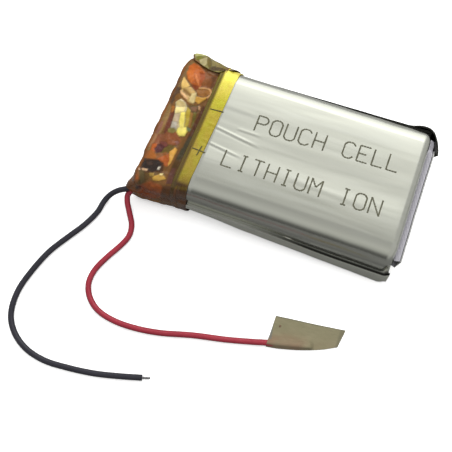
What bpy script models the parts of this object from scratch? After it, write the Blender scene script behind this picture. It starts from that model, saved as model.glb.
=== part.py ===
"""Lithium pouch cell, size 9.0 x 25 x 40 mm, with a protection board taped over its terminal end and two free leads.

Cell frame, in millimetres: X runs from the terminal edge of the bare cell (0) to its far end (40), Y across the
width with the lead corner at -Y, and Z up from the back face (0) to the printed face (9). Everything is parented
to one empty that carries this frame to the middle of the cell's underside. Leads are not counted in that middle.
"""

import math

import bmesh
import bpy
from mathutils import Vector

MM = 0.001

# Bare cell: nominal size 9.0 x 25 x 40
CELL_T = 9.0
CELL_HALF_W = 12.5
CELL_L = 40.0
MID_Z = CELL_T / 2

# Laminate pouch
LAM = 0.15  # aluminium laminate thickness
FACE = 0.20  # laminate plus the stretched heat-seal layer on the two faces
CUP_X0, CUP_X1 = 3.6, 39.3
CUP_HALF_W = 11.98
CUP_SIDE_R, CUP_END_R = 3.0, 1.3
RIM_GAP = 0.04  # between the two layers of a sealed edge
RECESS_X, RECESS_D = 6.35, 0.10  # the faces sink under the tape
TERRACE_X0 = 0.2
TERRACE_GAP = 0.40  # room for the tabs and their sealing films

# Folded seal flanges
NEAR_Z0, NEAR_Z1 = 3.2, 0.35  # lower edge at the terminal end and at the far end
FAR_Z0, FAR_Z1 = 6.3, 7.5  # upper edge at the terminal end and at the far end
END_Z = 7.2
END_LEAN = 0.34

# Jelly roll: four strips wound together
ROLL_X0, ROLL_X1 = 5.3, 37.6
ROLL_CORE_HALF = 7.5
ROLL_T, ROLL_PITCH, ROLL_TURNS, ROLL_FIRST = 0.165, 0.78, 4, 0.45

# Tabs
TAB_T = 0.12
NEG_TAB_Y, NEG_TAB_W = 1.0, 4.0
POS_TAB_Y, POS_TAB_W = -4.8, 3.0

# Protection board
PAD_Z0, PAD_Z1 = 4.92, 5.20
PCB_Z0, PCB_T = 5.23, 0.80
PCB_X0, PCB_X1 = -2.6, 2.3
PCB_Y0, PCB_Y1 = -10.3, 10.6
ON_BOARD = PCB_Z0 + PCB_T + 0.03

# Tape
TAPE = 0.06
BAND_X0, BAND_X1 = 4.12, 6.25
WRAP_X1 = 4.06
WRAP_END_X = -3.35
MOUTH = ((-5.3, -2.9), (-13.6, -11.2), (1.7, 4.75))  # where the leads come out

# Leads
LEAD_D = 0.95
CORE_D = 0.42
STEP = 2.2  # spacing of the points along a lead
LEAD_Z = 0.53

BLACK_ROUTE = (
    (-2.05, -10.75, 6.35),
    (-2.7, -11.2, 5.2),
    (-3.5, -11.85, 4.0),
    (-4.65, -12.55, 3.2),
    (-6.1, -12.95, 2.2),
    (-7.3, -13.7, 1.3),
    (-8.05, -15.1, 0.75),
    (-8.4, -17.3, LEAD_Z),
    (-9.5, -20.1, LEAD_Z),
    (-11.2, -23.1, LEAD_Z),
    (-12.9, -26.3, LEAD_Z),
    (-14.1, -30.2, LEAD_Z),
    (-14.7, -34.0, LEAD_Z),
    (-14.1, -37.6, LEAD_Z),
    (-12.2, -40.2, LEAD_Z),
    (-9.3, -41.9, LEAD_Z),
    (-5.8, -42.55, LEAD_Z),
    (-2.0, -42.3, LEAD_Z),
    (2.0, -41.7, LEAD_Z),
    (5.6, -40.8, LEAD_Z),
    (9.3, -39.7, LEAD_Z),
)
BLACK_TIP = 1.35

RED_ROUTE = (
    (0.1, -10.8, 6.35),
    (-0.85, -11.2, 5.3),
    (-2.2, -11.45, 3.9),
    (-3.5, -11.95, 2.8),
    (-4.3, -12.95, 2.3),
    (-4.1, -14.1, 1.75),
    (-3.1, -15.7, 1.0),
    (-2.1, -17.3, 0.6),
    (-1.75, -19.2, LEAD_Z),
    (-2.3, -21.1, LEAD_Z),
    (-3.6, -23.8, LEAD_Z),
    (-4.6, -26.5, LEAD_Z),
    (-4.6, -28.9, LEAD_Z),
    (-3.4, -31.0, LEAD_Z),
    (-1.2, -32.5, LEAD_Z),
    (1.9, -33.1, LEAD_Z),
    (5.4, -33.0, LEAD_Z),
    (9.4, -32.3, LEAD_Z),
    (14.2, -30.9, LEAD_Z),
    (19.0, -29.8, LEAD_Z),
    (23.0, -28.7, LEAD_Z + 0.04),
)
# The last stretch of the red lead is straight, inside its flag
FLAG_WIRE = ((25.3, -28.02, 0.66), (29.9, -26.74, 0.66))
RED_TIP = 1.5

# Flag of masking tape folded over the end of the red lead
FLAG_OUTLINE = (
    (25.25, -27.35),
    (25.2, -23.4),
    (36.1, -21.9),
    (35.7, -24.8),
    (33.4, -25.95),
    (26.3, -28.05),
)
FLAG_Z0, FLAG_T = 0.03, 0.28
FLAG_BORE, FLAG_SKIN = 0.54, 0.64

CORDS = ("red_lead", "black_lead", "black_lead_tip", "red_lead_tip", "red_lead_flag")


# ---------------------------------------------------------------- scene and materials

for old in list(bpy.data.objects):
    bpy.data.objects.remove(old, do_unlink=True)

cell_frame = bpy.data.objects.new("cell_frame", None)
bpy.context.scene.collection.objects.link(cell_frame)


def material(name, colour, roughness, metallic=0.0):
    made = bpy.data.materials.new(name)
    made.use_nodes = True
    made.diffuse_color = (*colour, 1.0)
    shader = made.node_tree.nodes["Principled BSDF"]
    shader.inputs["Base Color"].default_value = (*colour, 1.0)
    shader.inputs["Roughness"].default_value = roughness
    shader.inputs["Metallic"].default_value = metallic
    return made


LAMINATE = material("aluminium_laminate", (0.66, 0.67, 0.62), 0.38, 0.7)
AMBER = material("polyimide_tape", (0.50, 0.20, 0.03), 0.22)
YELLOW = material("single_tape_layer", (0.78, 0.64, 0.05), 0.25)
NICKEL = material("nickel", (0.62, 0.59, 0.52), 0.32, 1.0)
ALUMINIUM = material("aluminium_foil", (0.75, 0.75, 0.76), 0.30, 1.0)
COPPER_FOIL = material("graphite_on_copper", (0.05, 0.05, 0.055), 0.75)
CATHODE_FOIL = material("oxide_on_aluminium", (0.09, 0.09, 0.10), 0.70)
SEPARATOR = material("separator_film", (0.88, 0.88, 0.86), 0.45)
SEAL_FILM = material("tab_sealing_film", (0.80, 0.80, 0.78), 0.40)
BOARD = material("board_laminate", (0.02, 0.12, 0.06), 0.45)
CHIP = material("moulded_chip", (0.02, 0.02, 0.022), 0.50)
CERAMIC = material("ceramic_capacitor", (0.45, 0.30, 0.17), 0.45)
SOLDER = material("solder", (0.66, 0.66, 0.64), 0.28, 1.0)
PAPER = material("insulating_paper", (0.62, 0.52, 0.36), 0.85)
GREEN_TAPE = material("roll_tape", (0.10, 0.32, 0.20), 0.4)
RED_PVC = material("red_insulation", (0.55, 0.035, 0.06), 0.38)
BLACK_PVC = material("black_insulation", (0.018, 0.018, 0.03), 0.38)
TINNED = material("tinned_strands", (0.60, 0.60, 0.60), 0.30, 1.0)
MASKING = material("masking_tape", (0.40, 0.36, 0.24), 0.75)


# ---------------------------------------------------------------- mesh tools


def place(obj, mat, helper=False):
    bpy.context.scene.collection.objects.link(obj)
    obj.parent = cell_frame
    if helper:
        obj.hide_render = True
        obj.display_type = "WIRE"
    else:
        obj.data.materials.append(mat)
    return obj


def solid(name, verts, faces, mat, helper=False, smooth=0.0):
    """One closed mesh from points in millimetres, with its faces turned outwards."""
    mesh = bpy.data.meshes.new(name)
    bm = bmesh.new()
    points = [bm.verts.new(Vector(v) * MM) for v in verts]
    for face in faces:
        bm.faces.new([points[i] for i in face])
    bmesh.ops.remove_doubles(bm, verts=bm.verts, dist=1e-8)
    bmesh.ops.recalc_face_normals(bm, faces=bm.faces)
    if bm.calc_volume(signed=True) < 0:
        bmesh.ops.reverse_faces(bm, faces=bm.faces)
    bm.to_mesh(mesh)
    bm.free()
    if smooth:
        mesh.shade_smooth()
        mesh.set_sharp_from_angle(angle=math.radians(smooth))
    return place(bpy.data.objects.new(name, mesh), mat, helper)


def loft(rings):
    """Points and faces of a closed solid through rings of equal count."""
    count = len(rings[0])
    verts = [p for ring in rings for p in ring]
    faces = [list(range(count))]
    for k in range(len(rings) - 1):
        a, b = k * count, (k + 1) * count
        for i in range(count):
            j = (i + 1) % count
            faces.append([a + i, a + j, b + j, b + i])
    faces.append([(len(rings) - 1) * count + i for i in range(count)])
    return verts, faces


def along(axis, low, high, outline):
    """A prism: the outline's two coordinates are the axes that follow `axis` in X, Y, Z order with it left out."""

    def point(pair, t):
        u, v = pair
        return {"x": (t, u, v), "y": (u, t, v), "z": (u, v, t)}[axis]

    return loft([[point(p, low) for p in outline], [point(p, high) for p in outline]])


def box(x, y, z):
    return along("z", z[0], z[1], ((x[0], y[0]), (x[1], y[0]), (x[1], y[1]), (x[0], y[1])))


def strip(line, thickness):
    """The outline of a bent strip whose centre runs along `line`."""
    left, right = [], []
    for i, p in enumerate(line):
        before = Vector(line[max(i - 1, 0)])
        after = Vector(line[min(i + 1, len(line) - 1)])
        here = Vector(p)
        a = (here - before).normalized() if i else (after - here).normalized()
        b = (after - here).normalized() if i < len(line) - 1 else a
        normal = Vector((-(a + b).y, (a + b).x)).normalized()
        spread = thickness / 2 / max(normal.dot(Vector((-a.y, a.x))), 0.4)
        left.append(here + normal * spread)
        right.append(here - normal * spread)
    return [tuple(p) for p in left + right[::-1]]


def boolean(obj, other, operation):
    made = obj.modifiers.new(operation.lower(), "BOOLEAN")
    made.operation = operation
    made.solver = "EXACT"
    made.object = other
    return obj


def rounded(points_half_w, z0, z1, r, steps=6):
    """A rounded rectangle in Y and Z, anticlockwise seen from +X."""
    out = []
    for cy, cz, start in (
        (points_half_w - r, z0 + r, -90),
        (points_half_w - r, z1 - r, 0),
        (-points_half_w + r, z1 - r, 90),
        (-points_half_w + r, z0 + r, 180),
    ):
        for k in range(steps + 1):
            a = math.radians(start + 90 * k / steps)
            out.append((cy + r * math.cos(a), cz + r * math.sin(a)))
    return out


# ---------------------------------------------------------------- pouch shells


def cup(name, upper, skin, rim, reach, helper):
    """Half of the drawn pouch as a solid dome: `skin` is how far it is inside the outer face, `rim` where it is cut."""
    face_skin = 0 if skin == 0 else FACE
    x0, x1 = CUP_X0 + skin, CUP_X1 - skin
    w, r, e = CUP_HALF_W - skin, CUP_SIDE_R - skin, CUP_END_R - skin
    stations = []
    for k in range(5):
        a = math.pi / 2 * k / 4
        stations.append((x0 + e - e * math.cos(a), e - e * math.sin(a)))
    stations += [(x1 - (x - x0), i) for x, i in stations[::-1]]
    rings = []
    for x, inset in stations:
        top = CELL_T - face_skin - inset
        radius = max(r - inset, 0.5)
        ww = w - inset
        half = [(ww, rim - reach)]
        for k in range(7):
            a = math.pi / 2 * k / 6
            half.append((ww - radius + radius * math.cos(a), top - radius + radius * math.sin(a)))
        half += [(-y, z) for y, z in half[::-1]]
        rings.append([(x, y, z if upper else CELL_T - z) for y, z in half])
    verts, faces = loft(rings)
    return solid(name, verts, faces, LAMINATE, helper, smooth=35)


def near_lower_edge(x):
    return NEAR_Z0 + (NEAR_Z1 - NEAR_Z0) * (x - CUP_X0) / (CUP_X1 - CUP_X0)


def flanges(name, upper):
    """The folded sealed edges of one laminate layer, as closed pieces that overlap its cup's wall."""
    rim = MID_Z + RIM_GAP / 2
    web0, web1 = (rim, rim + LAM) if upper else (CELL_T - rim - LAM, CELL_T - rim)
    made = []
    # near edge: both layers fold down, the front layer outside
    outer = CELL_HALF_W - (0 if upper else LAM + RIM_GAP)
    legs = [("near_web", *along("x", CUP_X0, 39.55, ((-11.88, web0), (-11.88, web1), (-outer, web1), (-outer, web0))))]
    leg = ((CUP_X0, web1), (39.55, web1), (39.55, 1.6), (38.4, NEAR_Z1), (CUP_X0, NEAR_Z0))
    legs.append(("near_leg", *along("y", -outer, -outer + LAM, leg)))
    # far edge: both layers fold up, the back layer outside
    outer = CELL_HALF_W - (LAM + RIM_GAP if upper else 0)
    legs.append(("far_web", *along("x", CUP_X0, 39.2, ((11.88, web0), (11.88, web1), (outer, web1), (outer, web0)))))
    leg = ((CUP_X0, web0), (39.2, web0), (39.2, FAR_Z1), (CUP_X0, FAR_Z0))
    legs.append(("far_leg", *along("y", outer - LAM, outer, leg)))
    # far end: both layers fold up and lean out, the back layer outside
    foot = 39.78 if upper else 39.97
    half = (-10.9, 11.0)
    legs.append(("end_web", *along("y", *half, ((39.2, web0), (39.2, web1), (foot, web1), (foot, web0)))))
    legs.append(("end_leg", *along("y", *half, ((foot - LAM, web0), (foot, web0), (foot + END_LEAN, END_Z), (foot + END_LEAN - LAM, END_Z)))))
    # terrace: the sealed lip that the tabs come through
    t0 = MID_Z + TERRACE_GAP / 2
    lip = (t0, t0 + LAM) if upper else (CELL_T - t0 - LAM, CELL_T - t0)
    legs.append(("lip", *box((TERRACE_X0, CUP_X0 + 0.12), (-10.8, 10.8), lip)))
    if not upper:
        # the far edge's spare end goes round the corner
        tail = strip(((38.9, CELL_HALF_W - LAM / 2), (39.6, 12.36), (40.25, 11.95), (40.6, 11.1), (40.72, 9.7), (40.86, 8.2)), LAM)
        legs.append(("tail", *along("z", 4.9, 7.45, tail)))
    for tag, verts, faces in legs:
        made.append(solid(f"{name}_{tag}", verts, faces, LAMINATE, helper=True))
    return made


def shell(name, upper):
    rim = MID_Z + RIM_GAP / 2
    body = cup(name, upper, 0.0, rim, 0.0, helper=False)
    hollow = cup(name + "_hollow", upper, LAM, rim, 0.6, helper=True)
    boolean(body, hollow, "DIFFERENCE")
    face = CELL_T - RECESS_D
    sink = (face, CELL_T + 1) if upper else (-1, RECESS_D)
    boolean(body, solid(name + "_recess", *box((CUP_X0 - 1, RECESS_X), (-14, 14), sink), LAMINATE, helper=True), "DIFFERENCE")
    slot = (MID_Z - TERRACE_GAP / 2, MID_Z + TERRACE_GAP / 2)
    boolean(body, solid(name + "_slot", *box((CUP_X0 - 0.6, CUP_X0 + 0.5), (-9.9, 9.9), slot), LAMINATE, helper=True), "DIFFERENCE")
    for piece in flanges(name, upper):
        boolean(body, piece, "UNION")
    return body


shell("pouch_front_shell", True)
shell("pouch_back_shell", False)


# ---------------------------------------------------------------- jelly roll


def winding(name, layer, mat):
    """A flat spiral strip: round a core of two half circles, its distance from the core grows on the bends."""
    arc = 7
    inner, outer = [], []
    for turn in range(ROLL_TURNS):
        for side in (1, -1):
            for k in range(arc + 1):
                part = (turn + (0 if side > 0 else 0.5)) + 0.5 * k / arc
                h = ROLL_FIRST + layer * ROLL_PITCH / 4 + ROLL_PITCH * part
                a = math.pi / 2 - math.pi * k / arc
                for points, off in ((inner, -ROLL_T / 2), (outer, ROLL_T / 2)):
                    y = side * (ROLL_CORE_HALF + (h + off) * math.cos(a))
                    z = side * (h + off) * math.sin(a)
                    points.append((y, MID_Z + z))
    verts, faces = along("x", ROLL_X0 + (0.25 if layer % 2 == 0 else 0.0), ROLL_X1 - (0.25 if layer % 2 == 0 else 0.0), outer + inner[::-1])
    return solid(name, verts, faces, mat, smooth=40)


winding("anode_winding", 0, COPPER_FOIL)
winding("separator_inner_winding", 1, SEPARATOR)
winding("cathode_winding", 2, CATHODE_FOIL)
winding("separator_outer_winding", 3, SEPARATOR)

# a short strip of tape across the roll's far end keeps it from unwinding
solid("roll_fixing_tape", *box((37.9, 37.98), (-4.0, 4.0), (1.0, 8.0)), GREEN_TAPE)


# ---------------------------------------------------------------- tabs and their sealing films


def tab(name, y, width, mat, inner_x):
    line = ((inner_x, MID_Z), (-2.91, MID_Z), (-2.91, ON_BOARD + 0.27), (-0.5, ON_BOARD + 0.27))
    verts, faces = along("y", y - width / 2, y + width / 2, strip(line, TAB_T))
    return solid(name, verts, faces, mat)


tab("negative_tab", NEG_TAB_Y, NEG_TAB_W, NICKEL, 11.0)
tab("positive_tab", POS_TAB_Y, POS_TAB_W, ALUMINIUM, 13.0)

for pole, y, width in (("negative", NEG_TAB_Y, NEG_TAB_W), ("positive", POS_TAB_Y, POS_TAB_W)):
    for side, z in (("front", MID_Z + 0.09), ("back", MID_Z - 0.17)):
        solid(f"{pole}_tab_seal_{side}", *box((-0.5, 3.45), (y - width / 2 - 0.7, y + width / 2 + 0.7), (z, z + 0.08)), SEAL_FILM)


# ---------------------------------------------------------------- protection board


def chamfered(name, x, y, z, mat, edge):
    """A moulded body: a box with its upper edges bevelled."""
    obj = solid(name, *box(x, y, z), mat)
    made = obj.modifiers.new("edges", "BEVEL")
    made.width = edge * MM
    made.segments = 2
    made.limit_method = "ANGLE"
    return obj


solid("board_insulation_pad", *box((-2.4, 3.2), (-10.0, 10.0), (PAD_Z0, PAD_Z1)), PAPER)
chamfered("protection_board", (PCB_X0, PCB_X1), (PCB_Y0, PCB_Y1), (PCB_Z0, PCB_Z0 + PCB_T), BOARD, 0.05)
chamfered("protection_ic", (-2.25, 0.65), (-8.75, -7.25), (ON_BOARD, ON_BOARD + 1.1), CHIP, 0.10)
chamfered("mosfet_pair", (-2.2, 0.9), (5.2, 8.2), (ON_BOARD, ON_BOARD + 1.0), CHIP, 0.10)
chamfered("filter_resistor", (1.15, 1.95), (-7.5, -5.9), (ON_BOARD, ON_BOARD + 0.45), CHIP, 0.05)
chamfered("sense_resistor", (1.15, 1.95), (6.0, 7.6), (ON_BOARD, ON_BOARD + 0.45), CHIP, 0.05)
chamfered("filter_capacitor", (1.15, 1.95), (-2.6, -1.0), (ON_BOARD, ON_BOARD + 0.8), CERAMIC, 0.06)
for pole, y, width in (("negative", NEG_TAB_Y, NEG_TAB_W), ("positive", POS_TAB_Y, POS_TAB_W)):
    solid(f"{pole}_weld_plate", *box((-2.0, 0.8), (y - width / 2 + 0.1, y + width / 2 - 0.1), (ON_BOARD, ON_BOARD + 0.15)), NICKEL)


def mound(name, x, y, r, height, mat):
    """A solder joint: a low dome on its pad."""
    rings = []
    for radius, z in ((1.0, 0.0), (0.98, 0.15), (0.80, 0.55), (0.50, 0.85), (0.15, 1.0)):
        rings.append([(x + r * radius * math.cos(t), y + r * radius * math.sin(t), ON_BOARD + height * z) for t in [2 * math.pi * i / 14 for i in range(14)]])
    return solid(name, *loft(rings), mat, smooth=60)


mound("negative_solder_joint", -1.75, -9.6, 0.62, 0.6, SOLDER)
mound("positive_solder_joint", 0.05, -9.6, 0.62, 0.6, SOLDER)


# ---------------------------------------------------------------- tape

tape_gap = 0.03


def sleeve(name, x0, x1, mat):
    """One layer of tape round the cell, flush in the recess of the faces."""
    half_in, z_in = CELL_HALF_W + tape_gap, RECESS_D - 0.03
    outer = rounded(half_in + TAPE, z_in - TAPE + 0.01, CELL_T - z_in + TAPE - 0.01, 2.6)
    inner = rounded(half_in, z_in, CELL_T - z_in, 2.55)
    body = solid(name, *along("x", x0, x1, outer), mat, smooth=35)
    hole = solid(name + "_hole", *along("x", x0 - 1, x1 + 1, inner), mat, helper=True)
    return boolean(body, hole, "DIFFERENCE")


sleeve("tape_first_layer", BAND_X0, BAND_X1, YELLOW)


def ease(t):
    t = min(max(t, 0.0), 1.0)
    return t * t * (3 - 2 * t)


def wrap_solid(name, skin, open_x, helper):
    """The taped-over terminal end: a bag that follows the board, pulled out to a spout at the lead corner."""
    stations = ((open_x, 0.0, 0.0), (3.35, 0.0, 0.05), (2.2, 0.15, 0.25), (0.4, 0.30, 0.45), (-1.4, 0.32, 0.55), (-2.5, 0.42, 0.75))
    rings = []

    def spout(y, z):
        return ease((-8.6 - y) / 3.2) * math.exp(-(((z - 3.1) / 2.4) ** 2))

    for x, pull_w, pull_z in stations:
        half = CELL_HALF_W + 0.09 - pull_w - skin
        ring = rounded(half, 0.05 + pull_z * 0.5 + skin, CELL_T - 0.05 - pull_z - skin, 2.6 - skin)
        reach = ease((3.2 - x) / 4.0)
        rings.append([(x - 0.35 * reach * spout(y, z), y - 0.38 * reach * spout(y, z) * (y < 0), z) for y, z in ring])
    last = rounded(CELL_HALF_W + 0.09 - 0.42 - skin, 0.05 + 0.375 + skin, CELL_T - 0.05 - 0.75 - skin, 2.6 - skin)
    for scale, push in ((0.975, 0.62), (0.93, 0.95), (0.80, 1.0), (0.4, 1.03)):
        ring = []
        for y, z in last:
            yy, zz = y * (1 - (1 - scale) * 0.45), MID_Z + (z - MID_Z) * scale
            x = -2.5 + (WRAP_END_X + 2.5 + skin) * push - 1.15 * spout(yy, zz) * min(push, 1.0)
            ring.append((x, yy - 0.38 * spout(yy, zz), zz))
        rings.append(ring)
    return solid(name, *loft(rings), AMBER, helper, smooth=50)


wrap = wrap_solid("terminal_tape_wrap", 0.0, WRAP_X1, helper=False)
boolean(wrap, wrap_solid("terminal_tape_wrap_hollow", TAPE + 0.02, WRAP_X1 + 1.0, helper=True), "DIFFERENCE")
boolean(wrap, solid("terminal_tape_wrap_mouth", *box(*MOUTH), AMBER, helper=True), "DIFFERENCE")

# the loose end of the tape, pressed on the far side of the wrap
tail_line = ((12.66, 2.2), (12.70, 5.0), (12.62, 6.6), (12.30, 7.6))
solid("tape_end_tuck", *along("x", -2.3, 3.6, strip(tail_line, 0.08)), AMBER)


# ---------------------------------------------------------------- leads


def smooth_route(points, step):
    """Points at an even spacing on a Catmull-Rom curve through the route."""
    p = [Vector(q) for q in points]
    p = [p[0] * 2 - p[1]] + p + [p[-1] * 2 - p[-2]]
    fine = []
    for i in range(1, len(p) - 2):
        for k in range(24):
            t = k / 24
            fine.append(0.5 * (2 * p[i] + (p[i + 1] - p[i - 1]) * t + (2 * p[i - 1] - 5 * p[i] + 4 * p[i + 1] - p[i + 2]) * t**2 + (3 * p[i] - p[i - 1] - 3 * p[i + 1] + p[i + 2]) * t**3))
    fine.append(p[-2])
    total = sum((b - a).length for a, b in zip(fine, fine[1:]))
    count = max(round(total / step), 2)
    out, walked, want = [fine[0]], 0.0, total / count
    for a, b in zip(fine, fine[1:]):
        piece = (b - a).length
        while walked + piece >= want and len(out) < count:
            out.append(a + (b - a) * ((want - walked) / piece))
            want += total / count
        walked += piece
    return out + [fine[-1]]


def tube(name, points, diameter, mat):
    curve = bpy.data.curves.new(name, "CURVE")
    curve.dimensions = "3D"
    curve.bevel_depth = diameter / 2 * MM
    curve.bevel_resolution = 2
    curve.use_fill_caps = True
    spline = curve.splines.new("POLY")
    spline.points.add(len(points) - 1)
    for point, p in zip(spline.points, points):
        point.co = (*(Vector(p) * MM), 1.0)
    return place(bpy.data.objects.new(name, curve), mat)


black = smooth_route(BLACK_ROUTE, STEP)
tube("black_lead", black, LEAD_D, BLACK_PVC)
ahead = (Vector(BLACK_ROUTE[-1]) - Vector(BLACK_ROUTE[-2])).normalized()
black_end = Vector(BLACK_ROUTE[-1])
tube("black_lead_tip", (black_end + ahead * 0.03, black_end + ahead * (0.03 + BLACK_TIP)), CORE_D, TINNED)

red = smooth_route(RED_ROUTE + FLAG_WIRE[:1], STEP) + [Vector(FLAG_WIRE[1])]
tube("red_lead", red, LEAD_D, RED_PVC)
wire_a, wire_b = Vector(FLAG_WIRE[0]), Vector(FLAG_WIRE[1])
ahead = (wire_b - wire_a).normalized()
tube("red_lead_tip", (wire_b + ahead * 0.03, wire_b + ahead * (0.03 + RED_TIP)), CORE_D, TINNED)


def rod(name, start, end, r, mat, sides=20):
    """A straight round bar between two points at one height."""
    across = Vector((-(end - start).y, (end - start).x, 0)).normalized()
    rings = [[tuple(c + across * r * math.cos(t) + Vector((0, 0, r * math.sin(t)))) for t in [2 * math.pi * i / sides for i in range(sides)]] for c in (start, end)]
    return solid(name, *loft(rings), mat, helper=True, smooth=40)


flag = solid("red_lead_flag", *along("z", FLAG_Z0, FLAG_Z0 + FLAG_T, FLAG_OUTLINE), MASKING, smooth=35)
boolean(flag, rod("flag_swell", wire_a + ahead * 0.25, wire_b + ahead * (RED_TIP + 0.5), FLAG_SKIN, MASKING), "UNION")
boolean(flag, rod("flag_bore", wire_a - ahead * 1.0, wire_b + ahead * (RED_TIP + 0.12), FLAG_BORE, MASKING), "DIFFERENCE")


# ---------------------------------------------------------------- frame: origin at the middle of the underside, leads left out

bpy.context.view_layer.update()
graph = bpy.context.evaluated_depsgraph_get()
low, high = [1e9] * 3, [-1e9] * 3
for obj in bpy.context.scene.objects:
    if obj.type == "EMPTY" or obj.hide_render or obj.name in CORDS:
        continue
    shape = obj.evaluated_get(graph).to_mesh()
    for v in shape.vertices:
        for i in range(3):
            low[i] = min(low[i], v.co[i])
            high[i] = max(high[i], v.co[i])
    obj.evaluated_get(graph).to_mesh_clear()
cell_frame.location = (-(low[0] + high[0]) / 2, -(low[1] + high[1]) / 2, -low[2])
bpy.context.view_layer.update()
print("cell frame at", [round(c / MM, 4) for c in cell_frame.location], "mm; leads", [round(sum((b - a).length for a, b in zip(r, r[1:])), 2) for r in (black, red)])
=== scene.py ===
"""A small lithium pouch cell with a taped protection board and two leads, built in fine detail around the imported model.

All positions are in the cell's own frame in millimetres (X along the cell from its terminal edge, Y across, Z up from
the back face), and go to the model's frame through W().
"""

import math

import bpy
import numpy as np
from mathutils import Matrix, Vector, noise


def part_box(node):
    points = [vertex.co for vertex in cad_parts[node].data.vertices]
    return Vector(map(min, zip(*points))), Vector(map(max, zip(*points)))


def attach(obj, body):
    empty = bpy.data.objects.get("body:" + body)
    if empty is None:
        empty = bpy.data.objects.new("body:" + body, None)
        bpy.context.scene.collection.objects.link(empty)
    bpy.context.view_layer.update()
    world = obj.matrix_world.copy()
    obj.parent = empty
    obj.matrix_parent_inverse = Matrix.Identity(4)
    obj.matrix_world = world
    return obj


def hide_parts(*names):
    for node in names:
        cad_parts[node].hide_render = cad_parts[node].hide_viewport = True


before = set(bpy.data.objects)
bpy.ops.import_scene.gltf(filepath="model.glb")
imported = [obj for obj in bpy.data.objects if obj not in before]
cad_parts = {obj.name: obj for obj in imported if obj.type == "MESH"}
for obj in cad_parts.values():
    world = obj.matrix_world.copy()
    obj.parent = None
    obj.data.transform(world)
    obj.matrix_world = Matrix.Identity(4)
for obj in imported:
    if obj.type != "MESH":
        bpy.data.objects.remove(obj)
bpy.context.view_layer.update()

MM = 0.001
board_corner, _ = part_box("protection_board")
ORIGIN = np.array(board_corner) / MM - np.array((-2.6, -10.3, 5.23))
scene = bpy.context.scene


def W(p):
    """Cell frame in millimetres to the model's frame in metres."""
    return (np.asarray(p, float) + ORIGIN) * MM


# ------------------------------------------------------------------ camera

AZ, EL, ROLL, DIST, FOCAL = 0.41208, 1.20190, -0.05453, 113.807, 719.03
AIM = (13.164, -13.525, 4.5)

back = Vector((math.sin(AZ) * math.cos(EL), -math.cos(AZ) * math.cos(EL), math.sin(EL)))
right = Vector((0, 0, 1)).cross(back).normalized()
up = back.cross(right)
c, s = math.cos(ROLL), math.sin(ROLL)
right, up = right * c + up * s, up * c - right * s
eye = Vector(W(AIM)) + back * DIST * MM
camera_data = bpy.data.cameras.new("camera")
camera_data.sensor_width = 36
camera_data.lens = FOCAL * 36 / 452
camera_data.clip_start, camera_data.clip_end = 0.002, 20
camera = bpy.data.objects.new("camera", camera_data)
scene.collection.objects.link(camera)
camera.matrix_world = Matrix(((right.x, up.x, back.x, eye.x), (right.y, up.y, back.y, eye.y), (right.z, up.z, back.z, eye.z), (0, 0, 0, 1)))
scene.camera = camera
scene.view_settings.view_transform = "Standard"
scene.view_settings.look = "None"


# ------------------------------------------------------------------ node helpers


def lin(rgb):
    """An 8-bit sRGB colour as linear numbers."""
    out = []
    for v in rgb:
        v = v / 255
        out.append(v / 12.92 if v <= 0.04045 else ((v + 0.055) / 1.055) ** 2.4)
    return tuple(out)


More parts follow.
